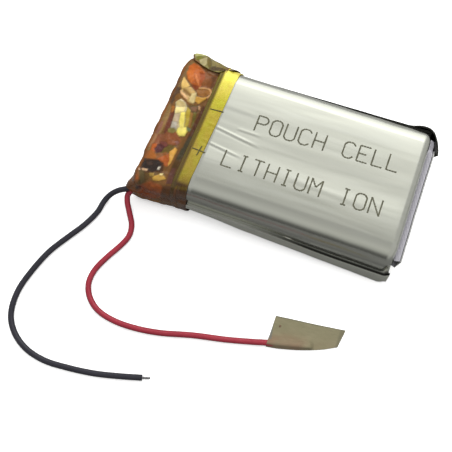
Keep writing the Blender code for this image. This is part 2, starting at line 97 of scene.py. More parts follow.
class Shade:
    """A material's node tree, with short calls for the nodes used here. Coordinates are in millimetres of the cell frame."""

    def __init__(self, name, rgb=(128, 128, 128), rough=0.5, metallic=0.0, **more):
        self.mat = bpy.data.materials.new(name)
        self.mat.use_nodes = True
        self.tree = self.mat.node_tree
        self.out = self.tree.nodes["Material Output"]
        self.bsdf = self.tree.nodes["Principled BSDF"]
        self.set("Base Color", (*lin(rgb), 1))
        self.set("Roughness", rough)
        self.set("Metallic", metallic)
        for key, value in more.items():
            self.set(key.replace("_", " "), value)
        self.mat.diffuse_color = (*lin(rgb), 1)
        self._mm = None

    def set(self, socket, value):
        self.bsdf.inputs[socket].default_value = value

    def node(self, kind, **settings):
        n = self.tree.nodes.new(kind)
        for key, value in settings.items():
            setattr(n, key, value)
        return n

    def link(self, a, b):
        self.tree.links.new(a, b)
        return self

    def to(self, out, socket):
        return self.link(out, self.bsdf.inputs[socket])

    def where(self, scale=(1, 1, 1), turn=0.0):
        """Object coordinates in millimetres, stretched."""
        if self._mm is None:
            self._mm = self.node("ShaderNodeTexCoord").outputs["Object"]
        m = self.node("ShaderNodeMapping")
        m.inputs["Scale"].default_value = tuple(v / MM for v in scale)
        m.inputs["Rotation"].default_value = (0, 0, turn)
        self.link(self._mm, m.inputs["Vector"])
        return m.outputs["Vector"]

    def noise(self, scale=(1, 1, 1), size=1.0, detail=3.0, rough=0.5, distort=0.0, turn=0.0):
        n = self.node("ShaderNodeTexNoise")
        n.inputs["Scale"].default_value = size
        n.inputs["Detail"].default_value = detail
        n.inputs["Roughness"].default_value = rough
        n.inputs["Distortion"].default_value = distort
        self.link(self.where(scale, turn), n.inputs["Vector"])
        return n.outputs["Fac"]

    def wave(self, scale=(1, 1, 1), size=1.0, turn=0.0, distort=0.0, detail=1.0):
        n = self.node("ShaderNodeTexWave")
        n.inputs["Scale"].default_value = size
        n.inputs["Distortion"].default_value = distort
        n.inputs["Detail"].default_value = detail
        self.link(self.where(scale, turn), n.inputs["Vector"])
        return n.outputs["Fac"]

    def cells(self, scale=(1, 1, 1), size=1.0, feature="F1"):
        n = self.node("ShaderNodeTexVoronoi", feature=feature)
        n.inputs["Scale"].default_value = size
        self.link(self.where(scale), n.inputs["Vector"])
        return n.outputs["Distance"]

    def span(self, value, a, b, low=0.0, high=1.0):
        """value from a..b to low..high, clamped."""
        n = self.node("ShaderNodeMapRange")
        n.inputs["From Min"].default_value, n.inputs["From Max"].default_value = a, b
        n.inputs["To Min"].default_value, n.inputs["To Max"].default_value = low, high
        self.link(value, n.inputs["Value"])
        return n.outputs["Result"]

    def math(self, op, a, b=None):
        n = self.node("ShaderNodeMath", operation=op)
        for i, v in enumerate((a, b)):
            if v is None:
                continue
            if isinstance(v, (int, float)):
                n.inputs[i].default_value = v
            else:
                self.link(v, n.inputs[i])
        return n.outputs[0]

    def mix(self, fac, a, b, blend="MIX"):
        n = self.node("ShaderNodeMix", data_type="RGBA", blend_type=blend)
        for socket, v in ((n.inputs[0], fac), (n.inputs[6], a), (n.inputs[7], b)):
            if isinstance(v, (int, float)):
                socket.default_value = v
            elif isinstance(v, tuple):
                socket.default_value = (*v, 1)[:4]
            else:
                self.link(v, socket)
        return n.outputs[2]

    def attribute(self, name):
        return self.node("ShaderNodeAttribute", attribute_type="GEOMETRY", attribute_name=name)

    def bump(self, *layers):
        """Layers of (height, strength, distance in mm), laid on one another."""
        last = None
        for height, strength, distance in layers:
            n = self.node("ShaderNodeBump")
            n.inputs["Strength"].default_value = strength
            n.inputs["Distance"].default_value = distance * MM
            self.link(height, n.inputs["Height"])
            if last is not None:
                self.link(last, n.inputs["Normal"])
            last = n.outputs["Normal"]
        return self.to(last, "Normal")


# ------------------------------------------------------------------ mesh helpers


def mesh_piece(name, verts, faces, shade, replaces=(), colour=None, smooth=True, body="root"):
    """A mesh from points in the cell frame, riding on the body."""
    mesh = bpy.data.meshes.new(name)
    mesh.from_pydata([tuple(p) for p in W(verts)], [], [tuple(int(i) for i in f) for f in faces])
    mesh.validate()
    if colour is not None:
        layer = mesh.color_attributes.new("tint", "FLOAT_COLOR", "POINT")
        flat = np.ones((len(mesh.vertices), 4), np.float32)
        flat[:, :3] = np.asarray(colour, np.float32)[: len(mesh.vertices)]
        layer.data.foreach_set("color", flat.ravel())
    if smooth:
        mesh.shade_smooth()
    mesh.materials.append(shade.mat if isinstance(shade, Shade) else shade)
    obj = bpy.data.objects.new(name, mesh)
    scene.collection.objects.link(obj)
    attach(obj, body)
    if replaces:
        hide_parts(*replaces)
    return obj


def grid_faces(rows, cols, keep=None, wrap=False, flip=False):
    faces = []
    for i in range(rows - 1):
        for j in range(cols if wrap else cols - 1):
            if keep is not None and not keep(i, j):
                continue
            k = (j + 1) % cols
            f = [i * cols + j, (i + 1) * cols + j, (i + 1) * cols + k, i * cols + k]
            faces.append(f[::-1] if flip else f)
    return faces


def solidify(obj, thickness, offset=-1.0, rim=True):
    m = obj.modifiers.new("thickness", "SOLIDIFY")
    m.thickness = thickness * MM
    m.offset = offset
    m.use_even_offset = False
    m.use_rim = rim
    return obj


def spread(points, count, closed=False):
    """count points at even steps along a line of points."""
    p = np.asarray(points, float)
    if closed:
        p = np.vstack([p, p[:1]])
    d = np.r_[0, np.cumsum(np.linalg.norm(np.diff(p, axis=0), axis=1))]
    t = np.linspace(0, d[-1], count + 1)[:-1] if closed else np.linspace(0, d[-1], count)
    return np.stack([np.interp(t, d, p[:, k]) for k in range(p.shape[1])], 1)


def n3(x, y, z, scale=1.0, seed=0.0):
    return noise.noise(Vector((x * scale + seed, y * scale - seed * 0.7, z * scale + seed * 0.3)))


def ease(t):
    t = np.clip(t, 0, 1)
    return t * t * (3 - 2 * t)


def catmull(points, steps=12):
    p = [np.array(q, float) for q in points]
    p = [2 * p[0] - p[1]] + p + [2 * p[-1] - p[-2]]
    out = []
    for i in range(1, len(p) - 2):
        for k in range(steps):
            t = k / steps
            out.append(0.5 * (2 * p[i] + (p[i + 1] - p[i - 1]) * t + (2 * p[i - 1] - 5 * p[i] + 4 * p[i + 1] - p[i + 2]) * t**2 + (3 * p[i] - p[i - 1] - 3 * p[i + 1] + p[i + 2]) * t**3))
    out.append(p[-2])
    return np.array(out)


# ------------------------------------------------------------------ leads, first of the pieces

LEAD_D, LEAD_Z = 0.95, 0.53
BLACK_ROUTE = ((-2.05, -10.75, 6.35), (-2.7, -11.2, 5.2), (-3.5, -11.85, 4.0), (-4.65, -12.55, 3.2), (-6.1, -12.95, 2.2), (-7.3, -13.7, 1.3), (-8.05, -15.1, 0.75), (-8.4, -17.3, LEAD_Z), (-9.5, -20.1, LEAD_Z), (-11.2, -23.1, LEAD_Z), (-12.9, -26.3, LEAD_Z), (-14.1, -30.2, LEAD_Z), (-14.7, -34.0, LEAD_Z), (-14.1, -37.6, LEAD_Z), (-12.2, -40.2, LEAD_Z), (-9.3, -41.9, LEAD_Z), (-5.8, -42.55, LEAD_Z), (-2.0, -42.3, LEAD_Z), (2.0, -41.7, LEAD_Z), (5.6, -40.8, LEAD_Z), (9.3, -39.7, LEAD_Z))
RED_ROUTE = ((0.1, -10.8, 6.35), (-0.85, -11.2, 5.3), (-2.2, -11.45, 3.9), (-3.5, -11.95, 2.8), (-4.3, -12.95, 2.3), (-4.1, -14.1, 1.75), (-3.1, -15.7, 1.0), (-2.1, -17.3, 0.6), (-1.75, -19.2, LEAD_Z), (-2.3, -21.1, LEAD_Z), (-3.6, -23.8, LEAD_Z), (-4.6, -26.5, LEAD_Z), (-4.6, -28.9, LEAD_Z), (-3.4, -31.0, LEAD_Z), (-1.2, -32.5, LEAD_Z), (1.9, -33.1, LEAD_Z), (5.4, -33.0, LEAD_Z), (9.4, -32.3, LEAD_Z), (14.2, -30.9, LEAD_Z), (19.0, -29.8, LEAD_Z), (23.0, -28.7, LEAD_Z + 0.04), (25.3, -28.02, 0.66), (29.9, -26.74, 0.66))
BLACK_TIP, CORE_D = 1.35, 0.42
FLAG_WIRE = ((25.3, -28.02, 0.66), (29.9, -26.74, 0.66))


def lead(name, route, shade, node):
    line = catmull(route, 10)
    line = spread(line, int(len(line) * 0.8))
    curve = bpy.data.curves.new(name, "CURVE")
    curve.dimensions = "3D"
    curve.bevel_depth = LEAD_D / 2 * MM
    curve.bevel_resolution = 6
    curve.use_fill_caps = True
    spline = curve.splines.new("POLY")
    spline.points.add(len(line) - 1)
    for point, p in zip(spline.points, W(line)):
        point.co = (*p, 1)
    spline.use_smooth = True
    curve.materials.append(shade.mat)
    obj = bpy.data.objects.new(name, curve)
    scene.collection.objects.link(obj)
    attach(obj, "root")
    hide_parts(node)
    return obj, line


red_pvc = Shade("red_insulation", (150, 34, 52), 0.34, Coat_Weight=0.25, Coat_Roughness=0.25)
red_pvc.to(red_pvc.mix(red_pvc.noise((1, 1, 1), 0.35, 3), lin((132, 26, 44)), lin((168, 46, 62))), "Base Color")
red_pvc.to(red_pvc.span(red_pvc.noise((1, 1, 1), 2.5, 3), 0.3, 0.7, 0.28, 0.42), "Roughness")
red_pvc.bump((red_pvc.noise((1, 1, 1), 1.6, 2), 0.25, 0.05), (red_pvc.noise((1, 1, 1), 14.0, 2), 0.12, 0.01))

black_pvc = Shade("black_insulation", (30, 29, 38), 0.36, Coat_Weight=0.2, Coat_Roughness=0.3)
black_pvc.to(black_pvc.mix(black_pvc.noise((1, 1, 1), 0.3, 3), lin((24, 23, 33)), lin((46, 45, 54))), "Base Color")
black_pvc.to(black_pvc.span(black_pvc.noise((1, 1, 1), 2.5, 3), 0.3, 0.7, 0.3, 0.46), "Roughness")
black_pvc.bump((black_pvc.noise((1, 1, 1), 1.6, 2), 0.25, 0.05), (black_pvc.noise((1, 1, 1), 14.0, 2), 0.12, 0.01))

black_lead, black_line = lead("black_wire", BLACK_ROUTE, black_pvc, "black_lead")
red_lead, red_line = lead("red_wire", RED_ROUTE, red_pvc, "red_lead")


def strands(name, start, along, length, shade, node, turns=0.6):
    """A bare end: six thin strands twisted round a seventh, wetted with solder."""
    along = np.array(along) / np.linalg.norm(along)
    side = np.cross(along, (0, 0, 1.0))
    side /= np.linalg.norm(side)
    top = np.cross(side, along)
    verts, faces = [], []
    n, rings = 8, 22
    for k in range(7):
        r = 0.07
        for i in range(rings + 1):
            t = i / rings
            a = 2 * math.pi * (k / 6 + turns * t)
            ring = 0.0 if k == 6 else 0.135 * (1 - 0.10 * t) * (1 + 0.12 * math.sin(9 * t + k))
            end = length * (1 - 0.04 * ((k * 37) % 5) / 5)
            centre = np.array(start) + along * (end * t) + side * ring * math.cos(a) + top * ring * math.sin(a)
            rr = r * (1 - 0.5 * ease((t - 0.93) / 0.07))
            for j in range(n):
                b = 2 * math.pi * j / n
                verts.append(centre + side * rr * math.cos(b) + top * rr * math.sin(b))
        base = k * (rings + 1) * n
        for i in range(rings):
            for j in range(n):
                q = (j + 1) % n
                faces.append([base + i * n + j, base + i * n + q, base + (i + 1) * n + q, base + (i + 1) * n + j])
        faces.append([base + j for j in range(n)][::-1])
        faces.append([base + rings * n + j for j in range(n)])
    return mesh_piece(name, np.array(verts), faces, shade, (node,))


tinned = Shade("tinned_strands", (186, 186, 188), 0.3, 1.0)
tinned.to(tinned.mix(tinned.noise((1, 1, 1), 3.0, 3), lin((150, 148, 150)), lin((205, 205, 208))), "Base Color")
tinned.bump((tinned.noise((1, 1, 1), 6.0, 3), 0.3, 0.02))
black_dir = np.array(BLACK_ROUTE[-1]) - np.array(BLACK_ROUTE[-2])
black_tip = strands("black_wire_end", np.array(BLACK_ROUTE[-1]) - 0.02 * black_dir, black_dir, BLACK_TIP, tinned, "black_lead_tip")
red_dir = np.array(FLAG_WIRE[1]) - np.array(FLAG_WIRE[0])
red_tip = strands("red_wire_end", FLAG_WIRE[1], red_dir, 1.4, tinned, "red_lead_tip")


# ------------------------------------------------------------------ flag of masking tape

FLAG_TOP = ((25.2, -23.4), (36.1, -21.9))
FLAG_LOW = ((25.3, -28.55), (27.5, -28.1), (30.5, -27.2), (33.4, -26.05), (35.7, -24.8))


def flag_mesh():
    rows, cols = 64, 96
    low = spread(catmull([(*p, 0) for p in FLAG_LOW], 8), cols)
    top = spread([(*FLAG_TOP[0], 0), (*FLAG_TOP[1], 0)], cols)
    a, b = np.array(FLAG_WIRE[0][:2]), np.array(FLAG_WIRE[1][:2])
    d = (b - a) / np.linalg.norm(b - a)
    normal = np.array((-d[1], d[0]))
    upper, lower, tint = [], [], []
    for i in range(rows):
        t = i / (rows - 1)
        for j in range(cols):
            p = low[j] * (1 - t) + top[j] * t
            x, y = p[0], p[1]
            off = (np.array((x, y)) - a) @ normal
            run = (np.array((x, y)) - a) @ d
            wire = 1.0 - ease((run - 4.95) / 0.7) * 0.27 - ease((run - 6.45) / 1.0) * 0.73
            o = abs(off)
            round_top = 0.66 + math.sqrt(max(0.58**2 - min(o, 0.50) ** 2, 0)) - 0.12
            h = round_top if o < 0.50 else round_top * float(1 - ease((o - 0.50) / 1.25))
            wobble = 0.05 * n3(x, y, 0, 0.55, 3) + 0.03 * n3(x, y, 0, 1.6, 9)
            lift = 0.10 * ease((t - 0.55) / 0.45) * (0.5 + n3(x, y, 0, 0.22, 5)) + 0.22 * ease((x - 33.0) / 3.2) * t
            edge = ease(t / 0.06)
            z_low = 0.04 + max(0.0, lift)
            upper.append((x, y, z_low + 0.12 + (h * wire + max(wobble, -0.05)) * (0.35 + 0.65 * edge)))
            lower.append((x, y, z_low))
            near = math.exp(-((off / 1.5) ** 2)) * (1 - 0.8 * ease((run - 4.2) / 2.6)) * (0.75 + 0.5 * n3(x, y, 0, 0.8, 17))
            # painted shade: greyer along part of the flag's left edge
            left_edge_shade = float(ease((25.22 + 0.19 * max(-24.2 - y, 0.0) - x) / 0.10)) * float(ease((y + 27.5) / 0.3)) * float(ease((-24.2 - y) / 0.6))
            rim_dark = float(ease((t - 0.955) / 0.03)) + 0.6 * float(ease((x - 35.2) / 0.3))
            tint.append((near, left_edge_shade, min(rim_dark, 1.0)))
    verts = np.array(upper + lower)
    n = rows * cols
    faces = grid_faces(rows, cols, flip=True)
    faces += [[q + n for q in f[::-1]] for f in grid_faces(rows, cols, flip=True)]
    rim = [j for j in range(cols)] + [i * cols + cols - 1 for i in range(1, rows)] + [(rows - 1) * cols + j for j in range(cols - 2, -1, -1)] + [i * cols for i in range(rows - 2, 0, -1)]
    for k in range(len(rim)):
        p, q = rim[k], rim[(k + 1) % len(rim)]
        faces.append([p, p + n, q + n, q])
    return verts, faces, np.array(tint + tint)


masking = Shade("masking_tape", (150, 143, 112), 0.72, Specular_IOR_Level=0.35)
flag_tint = masking.attribute("tint")
pick = masking.node("ShaderNodeSeparateColor")
masking.link(flag_tint.outputs["Color"], pick.inputs[0])
crepe = masking.noise((0.5, 2.2, 1.0), 1.6, 4, 0.6, 0.4, turn=0.26)
paper = masking.mix(masking.noise((1, 1, 1), 0.5, 4), lin((124, 120, 92)), lin((140, 133, 108)))
paper = masking.mix(masking.span(crepe, 0.35, 0.7, 0.0, 0.30), paper, lin((112, 107, 82)))
paper = masking.mix(masking.math("MULTIPLY", pick.outputs[0], 0.5), paper, lin((138, 96, 80)))
# painted shade: greyer along part of the flag's left edge
paper = masking.mix(masking.math("MULTIPLY", pick.outputs[1], 0.7), paper, lin((104, 108, 104)))
paper = masking.mix(masking.math("MULTIPLY", pick.outputs[2], 0.6), paper, lin((84, 84, 70)))
masking.to(paper, "Base Color")
masking.bump((crepe, 0.5, 0.06), (masking.noise((1, 1, 1), 9.0, 3), 0.25, 0.02))
fv, ff, ft = flag_mesh()
flag = mesh_piece("masking_tape_flag", fv, ff, masking, ("red_lead_flag",), ft)


def disc_patch(name, x, y, z, r, shade, seed=1.0):
    """A small blot of irregular outline, a hair above the surface."""
    verts = [(x, y, z + 0.012)]
    for k in range(18):
        a = 2 * math.pi * k / 18
        rr = r * (1 + 0.35 * n3(math.cos(a), math.sin(a), 0, 1.3, seed))
        verts.append((x + rr * math.cos(a), y + rr * math.sin(a), z))
    verts += [(p[0], p[1], z - 0.03) for p in verts[1:]]
    faces = [[0, 1 + k, 1 + (k + 1) % 18] for k in range(18)]
    faces += [[1 + k, 19 + k, 19 + (k + 1) % 18, 1 + (k + 1) % 18] for k in range(18)]
    faces.append([19 + k for k in range(18)][::-1])
    return mesh_piece(name, np.array(verts), faces, shade)


stain = Shade("glue_spot", (112, 92, 70), 0.6)
stain.to(stain.mix(stain.noise((1, 1, 1), 4.0, 3), lin((96, 78, 58)), lin((128, 106, 84))), "Base Color")
disc_patch("flag_spot", 26.35, -24.75, 0.185, 0.20, stain, 4.0)


# ------------------------------------------------------------------ laminate pouch

LAM = 0.15
CUP_X1, CUP_W, SIDE_R, END_R, TOP = 39.3, 11.98, 3.0, 1.3, 9.0
START_X = 4.02
HALF = 12.5


def near_edge(x):
    low = 3.2 + (0.35 - 3.2) * (x - 3.6) / 35.7
    return low + ease((x - 38.35) / 1.2) * 1.25 + 0.45 * ease((17.0 - x) / 9.0)


def far_edge(x):
    return 5.9 + 1.15 * (x - 3.6) / 35.7


CREASES = (  # x from, y from, x to, y to, half width, height
    (4.6, 0.55, 14.8, -1.00, 0.22, 0.022),
    (4.8, -2.55, 12.8, -3.70, 0.20, 0.020),
    (9.8, 1.08, 14.2, 1.02, 0.20, 0.012),
    (5.5, 4.6, 13.0, 4.3, 0.40, 0.006),
    (20.0, -4.2, 37.0, -4.9, 0.50, 0.006),
)


PROFILE_Y = (-12.0, -10.2, -8.5, -7.0, -5.6, -3.7, -2.4, -1.0, 1.0, 3.0, 5.0, 6.5, 8.0, 9.2, 10.2, 12.0)
PROFILE_Z = (0.150, 0.160, 0.185, 0.205, 0.195, 0.130, 0.075, 0.045, 0.045, 0.050, 0.068, 0.072, 0.062, 0.040, 0.0, -0.03)


def profile(y):
    """The cell's own slight waviness across its face, smoothed."""
    return sum(float(np.interp(y + d, PROFILE_Y, PROFILE_Z)) * w for d, w in ((-0.7, 0.15), (-0.35, 0.22), (0.0, 0.26), (0.35, 0.22), (0.7, 0.15)))


def relief(x, y, face):
    """Height of the waviness and lengthwise creases over a face of the pouch."""
    near_end = ease((38.8 - x) / 2.2)
    inner = ease((9.9 - abs(y)) / 2.0)
    if face < 0:
        return -(0.06 + 0.05 * n3(x * 0.12, y * 0.4, 9.0, 1.0, 2.0)) * inner * near_end
    h = profile(y) * (0.82 + 0.18 * near_end) * 0.72
    soft = 0.012 * n3(x * 0.08, y * 0.42, 5.0, 1.0, 2.0) + 0.0035 * n3(x * 0.16, y * 1.1, 5.0, 1.0, 7.0)
    for x0, y0, x1, y1, half, high in CREASES:
        t = (x - x0) / (x1 - x0)
        if -0.05 < t < 1.05:
            off = y - (y0 + (y1 - y0) * t)
            fade = ease(t / 0.12 + 0.4) * ease((1 - t) / 0.35)
            soft += high * fade * math.exp(-((off / half) ** 2)) - 0.6 * high * fade * math.exp(-(((off + 1.6 * half) / half) ** 2))
    return h + soft * inner * near_end


def top_z(x, y):
    return TOP + relief(x, y, 1.0)


def section(x, inset, front):
    """One cross-section of a shell's outer surface, from the near flange's edge to the far flange's. Gives points,
    tints and the index range of the cup; the first share of each tint is painted shade and reflection brightness.
    """
    pts, tone = [], []
    w, r, top = CUP_W - inset, max(SIDE_R - inset, 0.6), TOP - inset
    fx = x + 0.27 * ease((x - 38.0) / 1.3)
    ripple = 0.05 * n3(x, 0, 0, 0.35, 21 if front else 29)

    drop = 1.0 * float(ease((x - 17.0) / 15.0)) * float(1 - ease((x - 38.6) / 0.7))

    def add(y, z, shade=1.0, hatch=0.0, xx=None):
        if y < -12.0 and len(pts) < 14:
            z -= drop
        pts.append((x if xx is None else xx, y, z))
        tone.append((shade, hatch, 0.0))

    z0 = near_edge(fx)
    flare = 0.0 if front else 0.0
    if front:
        for t in np.linspace(0, 1, 9):
            z = z0 + (4.50 - drop - z0) * t
            pts.append((fx, -HALF + ripple - 0.10 * (4.5 - z) / 4.0, z))
            tone.append((1.0, 1.0, 0.0))
        # painted shade dims the fold at the near seam, to nearly black towards the far end
        seam_shade = float(ease((x - 13.0) / 14.0))
        add(-HALF + 0.03, 4.62, 0.7 - 0.66 * seam_shade, 0.2, fx)
        add(-HALF + 0.10, 4.67, 0.6 - 0.57 * seam_shade, 0.0, fx)
        add(-12.2, 4.64, 0.5 - 0.46 * seam_shade, 0.0, fx)
        add(-12.06, 4.66, 0.6 - 0.35 * seam_shade, 0.0)
    else:
        # painted shade dims the back shell's flange and fold under the front one
        for t in np.linspace(0, 1, 9):
            z = z0 + 0.05 + (4.22 - drop - z0 - 0.05) * t
            pts.append((fx, -12.16 + ripple * 0.6, z))
            tone.append((0.5, 1.0, 0.0))
        add(-12.14, 4.28, 0.4, 0.0, fx)
        add(-12.1, 4.33, 0.4, 0.0, fx)
        add(-12.05, 4.33, 0.4, 0.0, fx)
        add(-12.02, 4.31, 0.4, 0.0)
    rim = 4.80 if front else 4.20
    side = []
    crown = top if front else 9.0 - top
    centre = crown - r if front else crown + r
    sign = 1.0 if front else -1.0
    for z in np.linspace(rim, centre, 7)[:-1]:
        side.append((w, z))
    lowered = np.linspace(rim - drop, centre, 7)[:-1]
    for k in range(15):
        a = math.pi / 2 * k / 14
        side.append((w - r + r * math.cos(a), centre + sign * r * math.sin(a)))
    first = len(pts)
    # painted shade and highlight on the near wall: lighter just beside the seam, darker further from it
    for n, (y, z) in enumerate(side):
        if n < 6:
            z = float(lowered[n])
        bulge = 0.05 * n3(x, z * 2, 0, 0.25, 41) * ease((y - 9) / 2)
        add(-y + bulge, z, 1.12 - 0.58 * float(ease((abs(z - 4.5) - 0.7) / 1.2)) * float(ease((y - w + 1.2) / 0.8)) - 0.12 * float(ease((w - 0.3 - y) / 0.8)))
    arc0 = first + 6
    flat = np.linspace(-(w - r), w - r, 104)[1:-1]
    for y in flat:
        add(y, crown, 1.0)
    for y, z in side[::-1]:
        bulge = 0.05 * n3(x, z * 2, 0, 0.25, 47) * ease((y - 9) / 2)
        add(y + bulge, z, 1.0)
    last = len(pts)
    arc1 = last - 6
    z1 = far_edge(fx)
    if front:
        # painted shade and dark reflection: the far fold and flange are painted nearly black
        add(12.01, 4.70, 0.08, 0.0)
        add(12.03, 4.69, 0.08, 0.0, fx)
        add(12.06, 4.71, 0.08, 0.0, fx)
        add(12.08, 4.76, 0.08, 0.0, fx)
        for z in np.linspace(4.82, z1, 9):
            add(12.09 + ripple * 0.4, z, 0.06, 0.3, fx)
    else:
        # painted shade dims the back's far fold and flange, darkest towards the flange's top edge
        add(12.03, 4.31, 0.6, 0.0)
        add(12.15, 4.33, 0.6, 0.0, fx)
        add(12.42, 4.34, 0.6, 0.0, fx)
        add(HALF - 0.04, 4.42, 1.0, 0.4, fx)
        for z in np.linspace(4.55, z1 + 0.05, 9):
            t = (z - 4.55) / (z1 + 0.05 - 4.55)
            add(HALF - 0.06 - 0.06 * t + ripple * 0.4, z, 0.62 - 0.56 * float(ease((t - 0.55) / 0.3)), 1.0, fx)
    return pts, tone, first, last, arc0, arc1


def shell(name, front, node, shade):
    verts, tints = [], []
    stations = [(x, 0.0) for x in np.arange(START_X, CUP_X1 - END_R, 0.24)]
    for k in range(10):
        a = math.pi / 2 * k / 9
        stations.append((CUP_X1 - END_R + END_R * math.sin(a), END_R - END_R * math.cos(a)))
    for x, inset in stations:
        pts, tone, first, last, arc0, arc1 = section(x, inset, front)
        for k, (px, py, pz) in enumerate(pts):
            if arc0 <= k < arc1:
                sunk = -0.085 * (1 - ease((x - 6.2) / 0.2)) - 0.20 * ease((4.3 - x) / 0.3)
                up_face = (1.0 if front else -1.0)
                h = relief(px, py, up_face) + sunk
                if not front:
                    h = min(relief(px, py, -1.0) * 1.0, 0.0) - 0.02
                weight = ease((abs(pz - 4.5) - 2.2) / 1.6)
                pz = pz + up_face * h * weight
            verts.append((px, py, pz))
        tints += tone
    cols = len(pts)
    rows = len(stations)
    # end wall and end flange, only over the cup's columns; painted shade dims the end wall towards its foot and the
    # fold beyond it a little
    base = np.array(verts[-cols:])
    end_rows = []
    foot = 39.36 if front else 39.97
    level = 7.0 if front else 4.33
    for t in np.linspace(0.18, 1.0, 6):
        ring = base.copy()
        ring[:, 0] = CUP_X1 + 0.02 * math.sin(math.pi * t)
        ring[:, 2] = base[:, 2] * (1 - t) + level * t
        end_rows.append((ring, (1.0 - 0.15 * t, 0.0, 0.6 * t)))
    for t in (0.5, 1.0):
        ring = base.copy()
        ring[:, 0] = CUP_X1 + 0.02 + (foot - CUP_X1 - 0.02) * t
        ring[:, 1] = base[:, 1] * (1 + 0.02 * t)
        ring[:, 2] = level - 0.02 * (1 - t)
        end_rows.append((ring, (0.9, 0.0, 1.0)))
    for t in np.linspace(0.08, 1.0, 10):
        ring = base.copy()
        wave = np.array([0.06 * n3(0, y, 0.5, 0.3, 51) for y in base[:, 1]])
        ring[:, 0] = foot + (0.70 if front else 0.42) * t + wave * t
        ring[:, 1] = base[:, 1] * 1.02
        ring[:, 2] = level + (7.45 - level - 0.95 * ease((base[:, 1] - 7.9) / 1.6)) * t
        end_rows.append((ring, (1.0, 0.22, 1.0 if front else 0.55)))
    for ring, tone in end_rows:
        verts += [tuple(p) for p in ring]
        tints += [tone] * cols

    def keep(i, j):
        return i < rows - 1 or arc0 <= j < arc1 - 1

    faces = grid_faces(rows + len(end_rows), cols, keep, flip=not front)
    verts, tints = np.array(verts), np.array(tints)
    if not front:
        # the far edge's spare end, bent round the corner, painted nearly black as painted shade and dark reflection, a
        # little lighter towards its tip as a painted highlight
        foot_line = spread(catmull(((35.0, 12.40, 0), (36.4, 12.43, 0), (37.4, 12.46, 0), (38.44, 12.46, 0), (39.1, 12.21, 0), (39.62, 11.61, 0), (39.98, 10.61, 0), (40.2, 9.56, 0), (40.45, 8.5, 0)), 8), 60)
        path = spread(catmull(((35.0, 12.42, 0), (35.9, 12.46, 0), (37.16, 12.66, 0), (38.51, 12.64, 0), (39.35, 12.18, 0), (39.85, 11.52, 0), (40.42, 10.41, 0), (40.80, 9.25, 0), (41.05, 8.35, 0)), 8), 60)
        start = len(verts)
        extra, tone = [], []
        for i, (foot_at, p) in enumerate(zip(foot_line, path)):
            t = i / (len(path) - 1)
            low = 4.75 + 0.9 * float(ease(t * 1.3 - 0.3))
            high = far_edge(p[0]) * (1 - float(ease(t / 0.35))) + 7.55 * float(ease(t / 0.35)) - 0.35 * float(ease((t - 0.93) / 0.07))
            for k in range(9):
                v = k / 8
                q = foot_at * (1 - v**1.6) + p * v**1.6
                extra.append((q[0], q[1], low + (high - low) * v))
                tone.append((0.07 + 0.10 * float(ease((t - 0.8) / 0.2)), 0.3, 0.0))
        faces += [[start + q for q in f] for f in grid_faces(len(path), 9, flip=True)]
        verts = np.vstack([verts, np.array(extra)])
        tints = np.vstack([tints, np.array(tone)])
    obj = mesh_piece(name, verts, faces, shade, (node,), tints)
    highest = max(obj.data.polygons, key=lambda f: abs(f.center.z - 0.0045))
    if highest.normal.z * (highest.center.z - 0.0045) < 0:
        obj.data.flip_normals()
    solidify(obj, LAM)
    return obj


laminate = Shade("aluminium_laminate", (230, 230, 224), 0.30, 1.0)
lam_tint = laminate.attribute("tint")
lam_pick = laminate.node("ShaderNodeSeparateColor")
laminate.link(lam_tint.outputs["Color"], lam_pick.inputs[0])
streak = laminate.noise((0.05, 0.9, 0.9), 1.0, 4, 0.55, 0.3)
cloud = laminate.noise((0.12, 0.25, 0.25), 1.0, 3, 0.5)
metal = laminate.mix(laminate.span(streak, 0.3, 0.7), lin((227, 229, 217)), lin((234, 236, 226)))
metal = laminate.mix(laminate.span(cloud, 0.35, 0.7, 0.0, 0.35), metal, lin((232, 232, 220)))
# painted shade and reflection: the first share of the tint multiplies the metal's colour
painted_shade_grey = laminate.node("ShaderNodeCombineColor")
for k in range(3):
    laminate.link(lam_pick.outputs[0], painted_shade_grey.inputs[k])
metal = laminate.mix(1.0, metal, painted_shade_grey.outputs[0], "MULTIPLY")
metal = laminate.mix(lam_pick.outputs[2], metal, lin((178, 176, 184)))
laminate.to(metal, "Base Color")
laminate.to(laminate.math("SUBTRACT", 1.0, laminate.math("MULTIPLY", lam_pick.outputs[2], 0.85)), "Metallic")
laminate.to(laminate.math("ADD", laminate.span(streak, 0.3, 0.7, 0.20, 0.27), laminate.math("MULTIPLY", lam_pick.outputs[1], 0.12)), "Roughness")
hatch = laminate.wave((1, 0, 1), 0.85, turn=0.0)
diag = laminate.node("ShaderNodeTexWave", bands_direction="DIAGONAL")
diag.inputs["Scale"].default_value = 0.9
laminate.link(laminate.where((1.0, 0.6, 1.0)), diag.inputs["Vector"])
emboss = laminate.math("MULTIPLY", diag.outputs["Fac"], lam_pick.outputs[1])
laminate.bump((emboss, 0.9, 0.10), (laminate.noise((0.05, 0.9, 0.9), 1.0, 2), 0.07, 0.02), (laminate.noise((1, 1, 1), 5.0, 2), 0.06, 0.01))

front_laminate = shell("front_laminate", True, "pouch_front_shell", laminate)
back_laminate = shell("back_laminate", False, "pouch_back_shell", laminate)


# ------------------------------------------------------------------ printing: generic words in a broken stroke lettering

